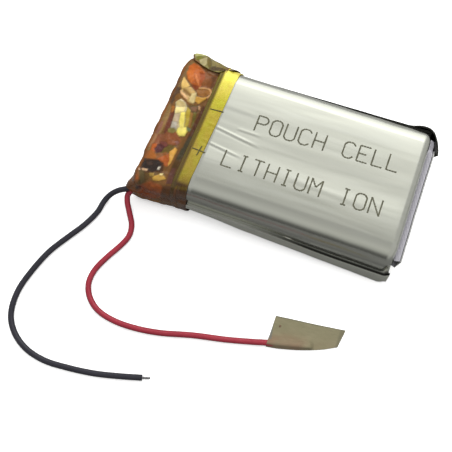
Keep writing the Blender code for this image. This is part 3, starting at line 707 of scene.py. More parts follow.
GLYPHS = {
    "P": ([(0, 0), (0, 6), (3, 6), (4, 5), (4, 4), (3, 3), (0, 3)],),
    "O": ([(1, 0), (0, 1), (0, 5), (1, 6), (3, 6), (4, 5), (4, 1), (3, 0), (1, 0)],),
    "U": ([(0, 6), (0, 1), (1, 0), (3, 0), (4, 1), (4, 6)],),
    "C": ([(4, 5), (3, 6), (1, 6), (0, 5), (0, 1), (1, 0), (3, 0), (4, 1)],),
    "H": ([(0, 0), (0, 6)], [(4, 0), (4, 6)], [(0, 3), (4, 3)]),
    "E": ([(4, 6), (0, 6), (0, 0), (4, 0)], [(0, 3), (3, 3)]),
    "L": ([(0, 6), (0, 0), (4, 0)],),
    "I": ([(2, 0), (2, 6)], [(1, 0), (3, 0)], [(1, 6), (3, 6)]),
    "T": ([(2, 0), (2, 6)], [(0, 6), (4, 6)]),
    "M": ([(0, 0), (0, 6), (2, 3), (4, 6), (4, 0)],),
    "N": ([(0, 0), (0, 6), (4, 0), (4, 6)],),
}


def strokes_of(word, x, y, pitch, wide, high, slope):
    out = []
    for k, letter in enumerate(word):
        for line in GLYPHS.get(letter, ()):
            pts = [(x + k * pitch + u / 4 * wide, y + v / 6 * high) for u, v in line]
            out.append([(px, py + slope * (px - x)) for px, py in pts])
    return out


def dashes(lines, broken=True, seed=0):
    """Short straight bits of a line, with a gap between them where it doesn't run across the cell."""
    out = []
    for n, line in enumerate(lines):
        for a, b in zip(line, line[1:]):
            a, b = np.array(a, float), np.array(b, float)
            length = np.linalg.norm(b - a)
            d = (b - a) / length
            upright = abs(d[1]) > 0.93
            step, gap = (0.62, 0.0) if upright or not broken else (0.46, 0.13)
            count = max(1, round(length / step))
            for k in range(count):
                p = a + d * (length * k / count + gap / 2 * (k > 0 or broken))
                q = a + d * (length * (k + 1) / count - gap / 2)
                out.append((p, q))
    return out


def ink_marks(name, bits, width, height, thick, shade):
    verts, faces = [], []
    for i, (p, q) in enumerate(bits):
        d = (q - p) / max(np.linalg.norm(q - p), 1e-6)
        side = np.array((-d[1], d[0]))
        wide = width / 2 * (1 + 0.18 * n3(p[0], p[1], i, 1.7, 13))
        rows = [p - d * width * 0.18, p, (p + q) / 2, q, q + d * width * 0.18]
        half = [wide * 0.55, wide, wide * 0.94, wide, wide * 0.55]
        base = len(verts)
        for layer in (thick, -0.03):
            for r, w in zip(rows, half):
                for sgn in (1, -1):
                    x, y = r + side * w * sgn
                    verts.append((x, y, height(x, y) + layer))
        for k in range(4):
            a = base + 2 * k
            faces.append([a, a + 1, a + 3, a + 2])
            faces.append([a + 10, a + 12, a + 13, a + 11])
            faces.append([a, a + 2, a + 12, a + 10])
            faces.append([a + 1, a + 11, a + 13, a + 3])
        faces.append([base, base + 10, base + 11, base + 1])
        faces.append([base + 8, base + 9, base + 19, base + 18])
    return mesh_piece(name, np.array(verts), faces, shade, smooth=False)


ink = Shade("marking_ink", (84, 84, 66), 0.55)
ink.to(ink.mix(ink.noise((1, 1, 1), 1.1, 3), lin((62, 62, 48)), lin((104, 103, 84))), "Base Color")
ink.to(ink.span(ink.noise((1, 1, 1), 3.0, 2), 0.3, 0.7, 0.45, 0.65), "Roughness")
printed = strokes_of("POUCH CELL", 12.25, 1.75, 2.40, 1.72, 2.80, 0.026)
printed += strokes_of("LITHIUM ION", 9.45, -5.85, 2.38, 1.70, 2.75, 0.006)
ink_marks("printed_words", dashes(printed), 0.265, top_z, 0.022, ink)


# What lies under the tape, as plain outlines on a level at 8.1 mm, with painted highlights and glints among them and
# painted shade in the trough beside the yellow band: name, colour, softness of the edge in mm, corners.
TAPE_PLAN = (
    # the paler rim pieces along the left edge, upper, lower and low, are a painted highlight
    ('left_rim_highlight_upper', (124, 94, 52), 0.12, ((-2.21, 11.19), (-2.56, 9.81), (-2.76, 8.07), (-2.82, 5.99), (-2.79, 4.17), (-1.78, 4.74), (-1.88, 6.33), (-1.83, 8), (-1.86, 9.86), (-1.59, 11))),
    ('left_rim_dark', (84, 60, 38), 0.14, ((-2.67, 5.64), (-2.8, 3.76), (-2.76, 2.37), (-2.16, 2.19), (-1.97, 3.46), (-1.78, 4.74), (-1.91, 5.51))),
    ('left_rim_highlight_lower', (134, 104, 60), 0.14, ((-2.76, 2.37), (-2.82, 0.35), (-2.8, -1.81), (-2.87, -4.17), (-3.09, -6.56), (-3.37, -8.74), (-2.47, -8.42), (-2.18, -6.22), (-1.97, -4.23), (-1.76, -2.21), (-1.77, -0.06), (-1.95, 1.66))),
    ('left_rim_red', (138, 92, 72), 0.12, ((-2.79, -1.42), (-2.83, -2.6), (-2.86, -3.78), (-2.18, -3.73), (-2.06, -2.32), (-2.18, -1.19))),
    ('maroon_by_strip', (98, 52, 36), 0.10, ((-1.86, 1.89), (-1.13, 0.97), (-0.88, -0.52), (-0.85, -1.88), (-1.04, -3.11), (-1.35, -3.62), (-1.54, -2.33), (-1.71, -0.63), (-1.89, 1.09))),
    ('orange_by_strip', (146, 92, 40), 0.08, ((-2.09, 2.01), (-1.55, 2.01), (-1.35, 1.08), (-1.67, 0.57))),
    ('orange_main', (172, 88, 32), 0.10, ((-2.24, 9.92), (-1.67, 10.76), (-0.28, 10.43), (0.7, 9.74), (1.28, 8.72), (1.24, 7.47), (0.96, 6.35), (0.27, 6.3), (-0.48, 6.84), (-1.23, 7.39), (-1.98, 8.36))),
    ('orange_left', (186, 100, 38), 0.10, ((-2.12, 8.72), (-1.71, 9.49), (-0.88, 8.76), (-0.45, 7.67), (-0.71, 6.97), (-1.46, 7.51))),
    ('orange_right', (152, 72, 28), 0.10, ((-0.08, 9.46), (1, 9.44), (1.42, 8.36), (1.22, 7.05), (0.75, 6.88), (0.42, 8.19))),
    ('orange_glint', (194, 112, 58), 0.06, ((-0.79, 8.99), (-0.34, 8.75), (0.25, 7.93), (0.69, 7.27), (0.75, 6.68), (0.08, 7.46), (-0.44, 8.09))),
    ('orange_low', (126, 58, 22), 0.08, ((-0.32, 6.9), (0.82, 6.7), (0.72, 6.06), (0.26, 5.89), (-0.27, 6.31))),
    ('brown_right', (124, 74, 36), 0.12, ((0.63, 9.93), (1.56, 9.85), (2.32, 9.71), (3.09, 9.58), (3.35, 8.44), (3.36, 7.02), (2.59, 6.74), (1.51, 6.75), (0.92, 7.35), (1.13, 8.66))),
    ('brown_edge', (98, 62, 34), 0.12, ((1.93, 9.36), (3.09, 9.58), (3.48, 8.08), (3.27, 6.78), (2.6, 7.15), (2.5, 8.34))),
    ('pink_fold', (134, 98, 70), 0.08, ((1.1, 10.1), (2.13, 10.22), (3.21, 10.66), (3.26, 10.05), (2.2, 9.57), (1.24, 9.73))),
    ('olive_corner', (122, 92, 22), 0.10, ((3.02, 9.76), (3.53, 10.77), (3.76, 9.21), (3.69, 7.54), (3.48, 6.25), (3.03, 6.49), (3.24, 7.79))),
    ('peach_upper', (216, 178, 102), 0.08, ((-2.2, 6.22), (-2.23, 7.64), (-1.47, 7.1), (-0.65, 6.37), (-0.87, 5.58), (-1.64, 5.3))),
    ('peach_lower', (188, 154, 94), 0.08, ((-1.92, 5.1), (-0.97, 5.85), (-0.42, 6.25), (0.63, 5.62), (1.27, 4.44), (1.11, 3.28), (0.17, 3.43), (-0.8, 4.09), (-1.71, 4.57))),
    ('peach_pale', (196, 176, 122), 0.08, ((0.07, 5.01), (0.85, 5.5), (1.26, 4.24), (1.08, 3.37), (0.29, 3.58), (0.13, 4.42))),
    ('peach_line', (126, 94, 48), 0.05, ((-1.56, 5.53), (-0.57, 5.28), (0.22, 4.86), (0.17, 4.54), (-0.67, 4.64), (-1.35, 5))),
    ('peach_rim', (214, 170, 122), 0.05, ((-1.92, 5.1), (-1.24, 4.73), (-0.56, 4.38), (-0.04, 3.96), (-0.13, 3.73), (-0.73, 3.91), (-1.59, 4.51))),
    ('amber_gap', (112, 76, 34), 0.10, ((-2.02, 4.45), (-1.18, 4.15), (-0.43, 3.62), (-1.12, 3.57), (-1.9, 3.28), (-2.28, 3.35))),
    ('oval', (142, 94, 44), 0.08, ((0.57, 6), (1.55, 6.66), (2.59, 6.74), (3.02, 6.08), (2.48, 5.18), (1.3, 5.05))),
    ('gold_loop', (190, 142, 58), 0.08, ((1.02, 4.85), (2.21, 4.98), (2.95, 5.55), (2.53, 4.6), (2, 3.7), (1.21, 3.92))),
    # painted highlight along the loop's rim
    ('loop_rim_highlight', (196, 146, 92), 0.04, ((0.86, 6.6), (1.95, 6.99), (2.78, 6.91), (3.22, 6.46), (3.26, 5.67), (2.89, 5.03), (2.72, 5.21), (3.02, 5.8), (2.96, 6.31), (2.58, 6.65), (1.95, 6.73), (0.96, 6.37))),
    # the four trough pieces are painted shade in the hollow beside the yellow band
    ('trough', (76, 54, 26), 0.14, ((3.54, 7.49), (3.33, 6.19), (3.19, 4.73), (3.11, 3.11), (2.96, 1.27), (2.87, -0.71), (2.64, -2.74), (2.32, -4.96), (2.17, -6.71), (2.1, -8.43), (2.31, -10.2), (2.55, -11.4), (3.44, -11.08), (3.21, -9.69), (3.21, -8.02), (3.29, -6.3), (3.6, -4.3), (3.84, -2.29), (3.95, 0.07), (4.07, 2.47), (4.01, 4.43), (4.1, 6.48))),
    ('trough_brown', (80, 46, 26), 0.12, ((2.76, 3.58), (3.35, 3.4), (3.25, 0.99), (3.16, -1), (2.94, -2.63), (2.53, -3.35), (2.57, -0.83), (2.67, 1.56))),
    ('trough_green', (66, 60, 42), 0.12, ((2.65, -2.34), (3.39, -2.46), (3.14, -4.85), (2.9, -6.82), (2.3, -7.04), (2.38, -5.12))),
    ('trough_low', (92, 58, 48), 0.12, ((2.24, -8.56), (2.83, -8.34), (3.04, -10.12), (3.29, -11.13), (2.4, -11.46), (2.17, -10.07))),
    ('dark_under_loop', (88, 66, 28), 0.10, ((0, 2.97), (0.99, 3.14), (2.07, 3.53), (2.57, 2.71), (2.14, 1.57), (1.27, 1.55), (0.42, 1.93))),
    ('brown_under_loop', (108, 72, 42), 0.08, ((0.83, 2.67), (1.9, 3.07), (2.21, 2.29), (1.44, 2.01))),
    ('pink_dot', (178, 136, 98), 0.05, ((1.98, 3.4), (2.39, 3.34), (2.66, 2.65), (2.32, 2.62))),
    ('strip_olive', (162, 140, 42), 0.08, ((0.14, 2.62), (1.11, 2.18), (1.52, 1.14), (1.78, 0.06), (2.03, -1.22), (1.42, -1.44), (0.96, 0.15), (0.4, 1.53))),
    ('strip_brown', (138, 98, 44), 0.08, ((1.25, 1.83), (1.78, 1.83), (2.17, 0.4), (2.41, -1.08), (1.96, -1.05), (1.64, 0.4))),
    ('strip_olive_2', (98, 88, 34), 0.08, ((1.71, 2), (2.31, 2.03), (2.48, 0.71), (2.5, -0.66), (2.34, -0.91), (2.1, 0.57))),
    ('nickel', (198, 184, 140), 0.06, ((-1.68, 2.76), (-1.12, 3.57), (-0.07, 3.15), (0.43, 2.33), (0.55, 1.38), (1.03, -0.02), (1.49, -1.61), (1.29, -2.84), (-0.2, -2.61), (-0.77, -1.85), (-0.88, -0.52), (-1.13, 0.97))),
    ('nickel_top', (176, 156, 102), 0.08, ((-1.48, 3.13), (-0.22, 3.09), (0.21, 2.45), (-0.71, 2.11), (-1.47, 2.24))),
    ('nickel_bright', (222, 204, 138), 0.06, ((-1.34, 1.69), (0.13, 2.42), (0.36, 1.41), (-1.03, 0.71))),
    ('nickel_grey', (178, 158, 128), 0.08, ((-0.99, 0.62), (-0.22, 0.9), (0.1, -0.55), (0.36, -1.83), (-0.69, -1.82), (-0.88, -0.52))),
    ('nickel_grey_low', (166, 158, 142), 0.08, ((-0.96, -0.75), (-0.13, -0.64), (0.2, -1.88), (-0.66, -1.91))),
    ('nickel_yellow', (224, 208, 98), 0.06, ((-0.14, 1.13), (0.55, 1.38), (1.02, -0.22), (1.48, -1.81), (1.01, -2.37), (0.25, -0.5))),
    ('strip_foot', (216, 202, 100), 0.06, ((0.44, -1.6), (1.73, -1.13), (2.16, -1.56), (2.01, -2.68), (1.17, -2.98), (0.37, -2.5))),
    ('green_by_foot', (96, 106, 76), 0.08, ((1.74, -0.93), (2.48, -1.05), (2.53, -1.61), (2.01, -1.61))),
    ('rust', (128, 74, 42), 0.12, ((-0.87, -2.67), (0.12, -2.11), (1.21, -3.07), (1.85, -3.79), (1.3, -4.57), (0.02, -4.84), (-0.87, -4.79), (-1.35, -3.62))),
    ('olive_cap', (122, 112, 58), 0.06, ((-1.05, -2.24), (-0.17, -1.83), (0.42, -2.19), (0.02, -2.73), (-0.8, -2.83))),
    ('rust_left', (128, 76, 48), 0.10, ((-2.18, -3.73), (-1.42, -3.45), (-0.79, -4.57), (-1.35, -5.73), (-2.1, -6), (-2.52, -5.01))),
    # painted highlight on the left rim
    ('left_rim_highlight_low', (150, 108, 72), 0.08, ((-2.97, -5.17), (-2.71, -3.72), (-2.18, -3.73), (-2.23, -5.28), (-2.48, -6.33), (-3.02, -6.72))),
    ('orange_small', (166, 84, 34), 0.08, ((-2.39, -5.73), (-1.71, -5.28), (-1.43, -5.95), (-1.38, -6.88), (-2.05, -6.94))),
    ('orange_patch', (150, 88, 38), 0.12, ((-2.96, -7.27), (-1.97, -6.72), (-0.88, -7.27), (-0.83, -8.19), (-2.03, -8.63), (-3.15, -8.85))),
    ('plum', (74, 38, 40), 0.08, ((-1.48, -5.4), (-0.76, -4.84), (-0.15, -5.48), (-0.37, -6.42), (-1.16, -6.99), (-1.67, -6.42))),
    ('plum_high', (104, 56, 48), 0.08, ((-1.39, -4.79), (-0.42, -4.62), (0.16, -5.18), (-0.22, -5.51), (-1.03, -5.23))),
    ('olive_wedge', (98, 80, 36), 0.08, ((-0.31, -5.73), (0.39, -4.9), (1.36, -4.73), (1.07, -5.7), (0.37, -6.52), (-0.5, -6.94))),
    ('brown_mid', (124, 76, 38), 0.10, ((-1.1, -7.16), (0.27, -6.28), (1, -6.39), (0.16, -7.26), (-0.6, -7.92))),
    ('gold_wedge', (204, 152, 68), 0.07, ((0.79, -6.09), (1.28, -4.96), (1.86, -5.32), (1.81, -6.47), (1.76, -7.81), (1.51, -8.46), (0.97, -7.15))),
    ('orange_low_right', (160, 82, 34), 0.10, ((0.09, -7.1), (0.85, -6.44), (1.33, -7.4), (1.43, -8.67), (0.3, -8.43), (-0.75, -7.97))),
    ('lilac_dot', (120, 78, 66), 0.06, ((0.87, -3.96), (1.4, -3.76), (1.68, -4.24), (1.3, -4.57))),
    ('chip_shade', (74, 48, 30), 0.12, ((-3.52, -8.8), (-2.32, -8.36), (-0.45, -7.87), (0.71, -8.19), (1.1, -9.54), (0.63, -10.45), (-0.86, -11), (-2.24, -10.58), (-3.18, -9.99))),
    ('chip', (42, 33, 29), 0.06, ((-2.63, -8.85), (-0.39, -8.03), (0.48, -8.46), (0.36, -9.62), (-0.65, -10.27), (-2.15, -9.99), (-2.72, -9.45))),
    ('chip_top_glow', (58, 42, 34), 0.06, ((-2.11, -8.85), (-1.22, -8.52), (-0.79, -9.11), (-1.69, -9.44))),
    ('maroon_corner', (106, 52, 28), 0.08, ((-3.44, -8.58), (-2.69, -8.31), (-2.42, -9.15), (-3.02, -9.56))),
    ('dark_below_chip', (90, 66, 32), 0.10, ((-1.8, -10.79), (-0.55, -10.51), (0.42, -9.97), (1.6, -9.91), (1.57, -10.66), (-0.43, -11.21), (-0.91, -12.49), (-1.81, -13.19), (-2.06, -11.81))),
    ('dark_left_of_chip', (88, 74, 44), 0.08, ((-2.67, -10.37), (-1.72, -10.57), (-1.11, -12.01), (-1.43, -12.87), (-2.12, -11.65))),
    ('gold_bits', (182, 142, 62), 0.06, ((-0.13, -11.1), (0.74, -10.32), (1.44, -10.15), (2.08, -10.66), (1.03, -11.41), (0.22, -11.53))),
    # painted glint
    ('gold_glint', (240, 220, 156), 0.03, ((0.78, -10.21), (1.32, -9.98), (1.33, -10.34), (0.96, -10.44))),
    ('gold_bit_2', (152, 122, 58), 0.05, ((-0.88, -10.54), (-0.1, -10.35), (0.06, -10.94), (-0.49, -11.05))),
    # painted glints, white and pale pink
    ('white_glint_1', (232, 190, 156), 0.03, ((-3.18, -9.91), (-2.92, -9.71), (-2.43, -10.57), (-2.68, -10.74))),
    ('white_glint_2', (196, 160, 124), 0.03, ((-2.3, -10.19), (-1.35, -10.07), (-1.28, -10.41), (-2.09, -10.52))),
    ('white_glint_3', (216, 206, 186), 0.03, ((0.12, -9.08), (0.4, -9.01), (0.44, -9.6), (0.07, -9.62))),
    ('left_lobe', (142, 94, 54), 0.12, ((-3.91, -11.1), (-3.19, -10.37), (-2.4, -11.01), (-1.85, -12.29), (-2.33, -13.56), (-3.15, -14.41), (-3.76, -12.62))),
    ('left_lobe_orange', (172, 90, 38), 0.07, ((-3.01, -11.98), (-2.59, -11.36), (-2.02, -12.17), (-2.52, -12.72))),
    ('left_lobe_dark', (104, 70, 40), 0.08, ((-3.49, -13.26), (-2.6, -12.93), (-1.95, -13.24), (-2.57, -14.2), (-3.23, -14.63))),
    ('lobe_brown', (134, 72, 36), 0.16, ((-1.44, -13.24), (-0.16, -11.85), (1.23, -11.89), (2.37, -12.2), (2.52, -13.78), (1.04, -14.68), (-0.56, -14.91), (-1.77, -14.45))),
    ('lobe_rust', (142, 78, 40), 0.12, ((-1.14, -12.76), (-0.09, -12.01), (1.06, -12.32), (0.45, -13.27), (-0.65, -13.49))),
    ('lobe_gold_rim', (130, 88, 36), 0.12, ((-2.67, -15.14), (-1.51, -14.27), (-0.08, -14.83), (1.4, -14.73), (3.22, -14.24), (2.6, -15.19), (1.14, -15.72), (-0.58, -15.64), (-1.88, -15.4))),
    ('lobe_right', (94, 62, 38), 0.20, ((1.95, -11.99), (3.86, -11.29), (6.32, -11.11), (8.22, -11.68), (7.9, -13.41), (5.27, -14.74), (3.02, -15.39), (2.44, -13.99))),
    ('lobe_right_low', (108, 76, 42), 0.12, ((2.63, -14.46), (5.03, -13.75), (6.32, -13.64), (5.93, -14.32), (3.68, -14.97))),
    ('under_band', (112, 86, 32), 0.12, ((3.29, -11.13), (4.6, -11.02), (5.69, -10.8), (6.24, -11.32), (4.85, -11.65), (3.7, -11.71))),
    ('lead_root', (52, 38, 28), 0.07, ((-4.37, -14.77), (-2.82, -14.02), (-1.44, -13.24), (-1.05, -13.37), (-1.91, -14.14), (-2.85, -15.12), (-4.06, -15.47))),
    ('fold_line_low', (92, 56, 30), 0.06, ((-1.84, -14.3), (-1.23, -13.34), (-1, -13.48), (-1.59, -14.48))),
)
FOLD_PLAN = (
    ('flap_base', (150, 138, 72), 0.08, ((-2.38, 10.71), (-2.49, 12.36), (-2.07, 13.15), (-0.18, 13.41), (1.44, 12.94), (2.81, 12.18), (4.28, 12.08), (4.69, 10.99), (2.74, 10.49), (1.17, 9.92), (-0.51, 10.55), (-1.52, 10.82))),
    ('flap_top_light', (196, 194, 118), 0.05, ((-2.14, 12.38), (-1.81, 12.92), (-0.43, 13.11), (-0.12, 12.79), (-1.39, 12.33), (-1.92, 11.83))),
    ('flap_olive', (122, 120, 22), 0.05, ((-1.83, 12.07), (-1.07, 12.45), (-0.57, 12.32), (-0.82, 11.8), (-1.45, 11.57))),
    ('flap_pale', (194, 180, 126), 0.06, ((-1.1, 11.6), (-0.45, 12.25), (0.11, 12.67), (0.46, 11.53), (0.12, 10.78), (-0.69, 11.01))),
    ('flap_brown_left', (112, 78, 50), 0.05, ((-2.37, 11.14), (-2.5, 12.15), (-2.06, 12.2), (-1.81, 11.55), (-1.43, 11.06), (-1.83, 10.7))),
    ('flap_peach', (170, 126, 86), 0.05, ((-2.06, 10.83), (-1.77, 11.46), (-1.03, 11.41), (-0.69, 11.01), (-1.36, 10.87))),
    ('flap_mustard', (122, 102, 22), 0.06, ((0.14, 12.57), (0.95, 12.34), (1.38, 11.24), (1.05, 10.7), (0.45, 11.32))),
    ('flap_grey', (156, 148, 104), 0.05, ((0.39, 12.87), (1.36, 12.7), (2.04, 12.32), (1.45, 12), (0.8, 12.28))),
    ('flap_tan', (154, 138, 74), 0.05, ((1.02, 12.16), (1.88, 12.26), (2.73, 11.94), (2.17, 11.52), (1.38, 11.24))),
    ('flap_dark', (82, 60, 14), 0.05, ((1.05, 10.7), (1.57, 11.2), (2.52, 11.55), (4.38, 11.81), (4.55, 11.35), (2.79, 10.82), (1.73, 10.33), (1.1, 10.1))),
    ('flap_tan_2', (142, 122, 60), 0.04, ((1.94, 11.65), (2.95, 11.81), (3.88, 11.73), (3.09, 11.44), (2.08, 11.28))),
    # the two thin pale lines are painted highlights
    ('flap_highlight_a', (208, 156, 96), 0.03, ((-0.64, 10.88), (0.04, 10.75), (0.93, 10.32), (0.89, 10.19), (0.05, 10.51), (-0.65, 10.71))),
    ('flap_highlight_b', (204, 150, 90), 0.03, ((-0.17, 10.14), (0.32, 10.27), (1.08, 10.17), (1.06, 10.02), (0.4, 10.05), (-0.08, 9.92))),
)
VIEW_POINT = (29.6, -51.13, 110.65)  # the outlines fall on the crumpled tape along lines to this fixed point


def paint(verts, plan, base):
    """A colour for each point, from the outlines laid over one another, with a painted shadow ring just outside each
    sharper outline.
    """
    v = np.asarray(verts, float)
    t = (VIEW_POINT[2] - 8.1) / (VIEW_POINT[2] - v[:, 2])
    px = VIEW_POINT[0] + (v[:, 0] - VIEW_POINT[0]) * t
    py = VIEW_POINT[1] + (v[:, 1] - VIEW_POINT[1]) * t
    # near: width of the painted shadow ring
    near = 0.16
    jog = np.array([(n3(a, b, 0, 0.9, 71), n3(a, b, 0, 0.9, 73), n3(a, b, 0, 2.6, 72), n3(a, b, 0, 2.6, 74), n3(a, b, 0, 0.6, 75), n3(a, b, 0, 1.7, 76)) for a, b in zip(px, py)])
    wx = px + 0.07 * jog[:, 0] + 0.04 * jog[:, 2]
    wy = py + 0.07 * jog[:, 1] + 0.04 * jog[:, 3]
    out = np.array(base)[None] * np.clip(1 + 0.30 * jog[:, 4] + 0.15 * jog[:, 5], 0.4, 1.8)[:, None]
    for name, rgb, soft, corners in plan:
        c = np.array(corners, float)
        reach = soft + near
        m = (wx > c[:, 0].min() - reach) & (wx < c[:, 0].max() + reach) & (wy > c[:, 1].min() - reach) & (wy < c[:, 1].max() + reach)
        if not m.any():
            continue
        x, y = wx[m], wy[m]
        inside = np.zeros(len(x), bool)
        dist = np.full(len(x), 1e9)
        for a, b in zip(c, np.roll(c, -1, axis=0)):
            d = b - a
            k = np.clip(((x - a[0]) * d[0] + (y - a[1]) * d[1]) / max(d @ d, 1e-9), 0, 1)
            dist = np.minimum(dist, np.hypot(x - a[0] - k * d[0], y - a[1] - k * d[1]))
            cross = (a[1] > y) != (b[1] > y)
            with np.errstate(divide="ignore", invalid="ignore"):
                at = d[0] * (y - a[1]) / np.where(d[1] == 0, 1e-9, d[1]) + a[0]
            inside ^= cross & (x < at)
        signed = np.where(inside, dist, -dist)
        edge_soft = max(soft, 0.10)
        k = ease((signed + edge_soft) / (2 * edge_soft))[:, None]
        # painted shadow ring just outside the sharper outlines, as round a raised piece
        if soft <= 0.08:
            out[m] *= (1 - 0.32 * ease(1 - np.maximum(-signed - 0.3 * soft, 0) / near) * (signed < soft))[:, None]
        shade = np.array(lin(rgb))[None] * (1 + 0.22 * jog[m, 5] + 0.18 * jog[m, 4])[:, None]
        out[m] = out[m] * (1 - k) + shade * k
    return np.clip(out, 0.003, 1)


# ------------------------------------------------------------------ first layer of tape, yellow over the bright laminate


def rounded_ring(near, far, z0, z1, r, count):
    """A rounded rectangle in Y and Z with its own half width on each side, at even steps, starting at the middle of the underside."""
    pts = [((near + far) / 2, z0)]
    for cy, cz, start in ((far - r, z0 + r, -90), (far - r, z1 - r, 0), (near + r, z1 - r, 90), (near + r, z0 + r, 180)):
        for k in range(13):
            a = math.radians(start + 90 * k / 12)
            pts.append((cy + r * math.cos(a), cz + r * math.sin(a)))
    return spread(pts, count, closed=True)


def band_mesh():
    cols, rows = 300, 24
    ring = rounded_ring(-12.57, 12.57, 0.05, 8.955, 2.75, cols)
    verts, tints = [], []
    for i in range(rows):
        t = i / (rows - 1)
        for y, z in ring:
            right_x = 6.22 + 0.027 * y + 0.04 * n3(y, z, 0, 0.6, 61)
            x = 3.3 + (right_x - 3.3) * t
            upper = float(ease((z - 8.2) / 0.6))
            wrinkle = 0.020 * abs(n3(x, y * 2.2, z, 0.7, 63)) + 0.006 * abs(n3(x * 2, y, z, 1.7, 67))
            edge = 1 - float(ease((t - 0.93) / 0.07))
            sag = 0.50 * float(ease((4.2 - x) / 0.8)) * upper
            lift = relief(x, y, 1.0) * upper if z > 4.5 else 0.0
            side = np.sign(y) * wrinkle * 0.5 * (1 - upper)
            held = float(ease((t - 0.30) / 0.30))
            rim = float(ease((t - 0.90) / 0.10))
            side += (0.42 + 0.13 * rim) * held * float(ease((-9.0 - y) / 2.2)) * float(ease((z - 4.9) / 0.6))
            side += 0.09 * rim * float(ease((-11.5 - y) / 0.8)) * float(1 - ease((z - 4.9) / 0.6))
            side -= (0.36 + 0.13 * rim) * held * float(ease((y - 9.0) / 2.2)) * float(ease((z - 6.3) / 0.8))
            verts.append((x, y + side, z + (0.035 + wrinkle * edge) * upper + lift - sag))
            tints.append(YELLOWS_PAINTED_LIGHT(y))
    verts = np.array(verts)
    # painted shade: on the near side, over the shaded wall, the band takes the darker colours beneath instead of the
    # yellow
    under = paint(verts, TAPE_PLAN, lin((92, 60, 36)))
    k = ease((-10.35 - verts[:, 1]) / 0.7)[:, None]
    tints = np.array(tints) * (1 - k) + under * k
    # painted shade: the band's upper left edge darkens beside the trough
    edge = ease((4.42 - verts[:, 0]) / 0.55)[:, None] * ease((verts[:, 2] - 6.0) / 0.8)[:, None]
    tints = tints * (1 - 0.85 * edge) + np.array(lin((84, 62, 28))) * 0.85 * edge
    low = (ease((1.2 - verts[:, 2]) / 0.8) * ease((11.8 - np.abs(verts[:, 1])) / 0.8))[:, None]
    tints = tints * (1 - low) + np.array(lin((150, 118, 44))) * low
    return verts, grid_faces(rows, cols, wrap=True, flip=True), tints


def YELLOWS_PAINTED_LIGHT(y):
    """The tape's colour over bright laminate, from the far edge to the near one, with painted light: bright towards the
    far edge and darker towards the near one.
    """
    stops = (-12.5, -9.5, -7.0, -4.0, -1.0, 2.0, 5.0, 8.0, 10.3, 11.8)
    cols = ((140, 112, 40), (156, 134, 42), (166, 144, 46), (164, 142, 36), (170, 150, 30), (178, 160, 38), (190, 174, 40), (222, 206, 78), (250, 234, 96), (236, 214, 88))
    return [float(np.interp(y, stops, [lin(c)[k] for c in cols])) for k in range(3)]


yellow = Shade("tape_over_laminate", (206, 186, 52), 0.28, 0.35, Coat_Weight=0.5, Coat_Roughness=0.16)
yt = yellow.attribute("tint")
blotch = yellow.noise((0.9, 0.5, 0.5), 0.7, 3)
tone = yellow.mix(yellow.span(blotch, 0.45, 0.65, 0.0, 0.9), yt.outputs["Color"], (0.98, 1.14, 0.70), "MULTIPLY")
yellow.to(yellow.mix(yellow.span(yellow.noise((1.3, 0.6, 0.6), 1.0, 3), 0.5, 0.8, 0.0, 0.8), tone, (0.86, 0.80, 0.70), "MULTIPLY"), "Base Color")
yellow.to(yellow.span(yellow.noise((1, 1, 1), 1.2, 3), 0.3, 0.7, 0.2, 0.34), "Roughness")
yellow.bump((yellow.noise((0.8, 0.4, 0.4), 0.6, 2, 0.5, 0.8), 0.12, 0.06))
bv, bf, bt = band_mesh()
band = mesh_piece("yellow_tape_band", bv, bf, yellow, ("tape_first_layer",), bt)
solidify(band, 0.05)


def band_z(x, y):
    return 8.955 + 0.035 + 0.045 + relief(x, y, 1.0)


marks = [[(4.30, 2.98), (6.50, 3.14)], [(4.25, -4.60), (6.38, -4.72)], [(5.50, -3.80), (5.32, -5.58)]]
pole_ink = Shade("pole_mark_ink", (66, 62, 30), 0.5)
pole_ink.to(pole_ink.mix(pole_ink.noise((1, 1, 1), 1.4, 3), lin((52, 50, 24)), lin((92, 86, 44))), "Base Color")
ink_marks("pole_marks", dashes(marks, broken=False), 0.20, band_z, 0.012, pole_ink)


# ------------------------------------------------------------------ crumpled amber tape over the board

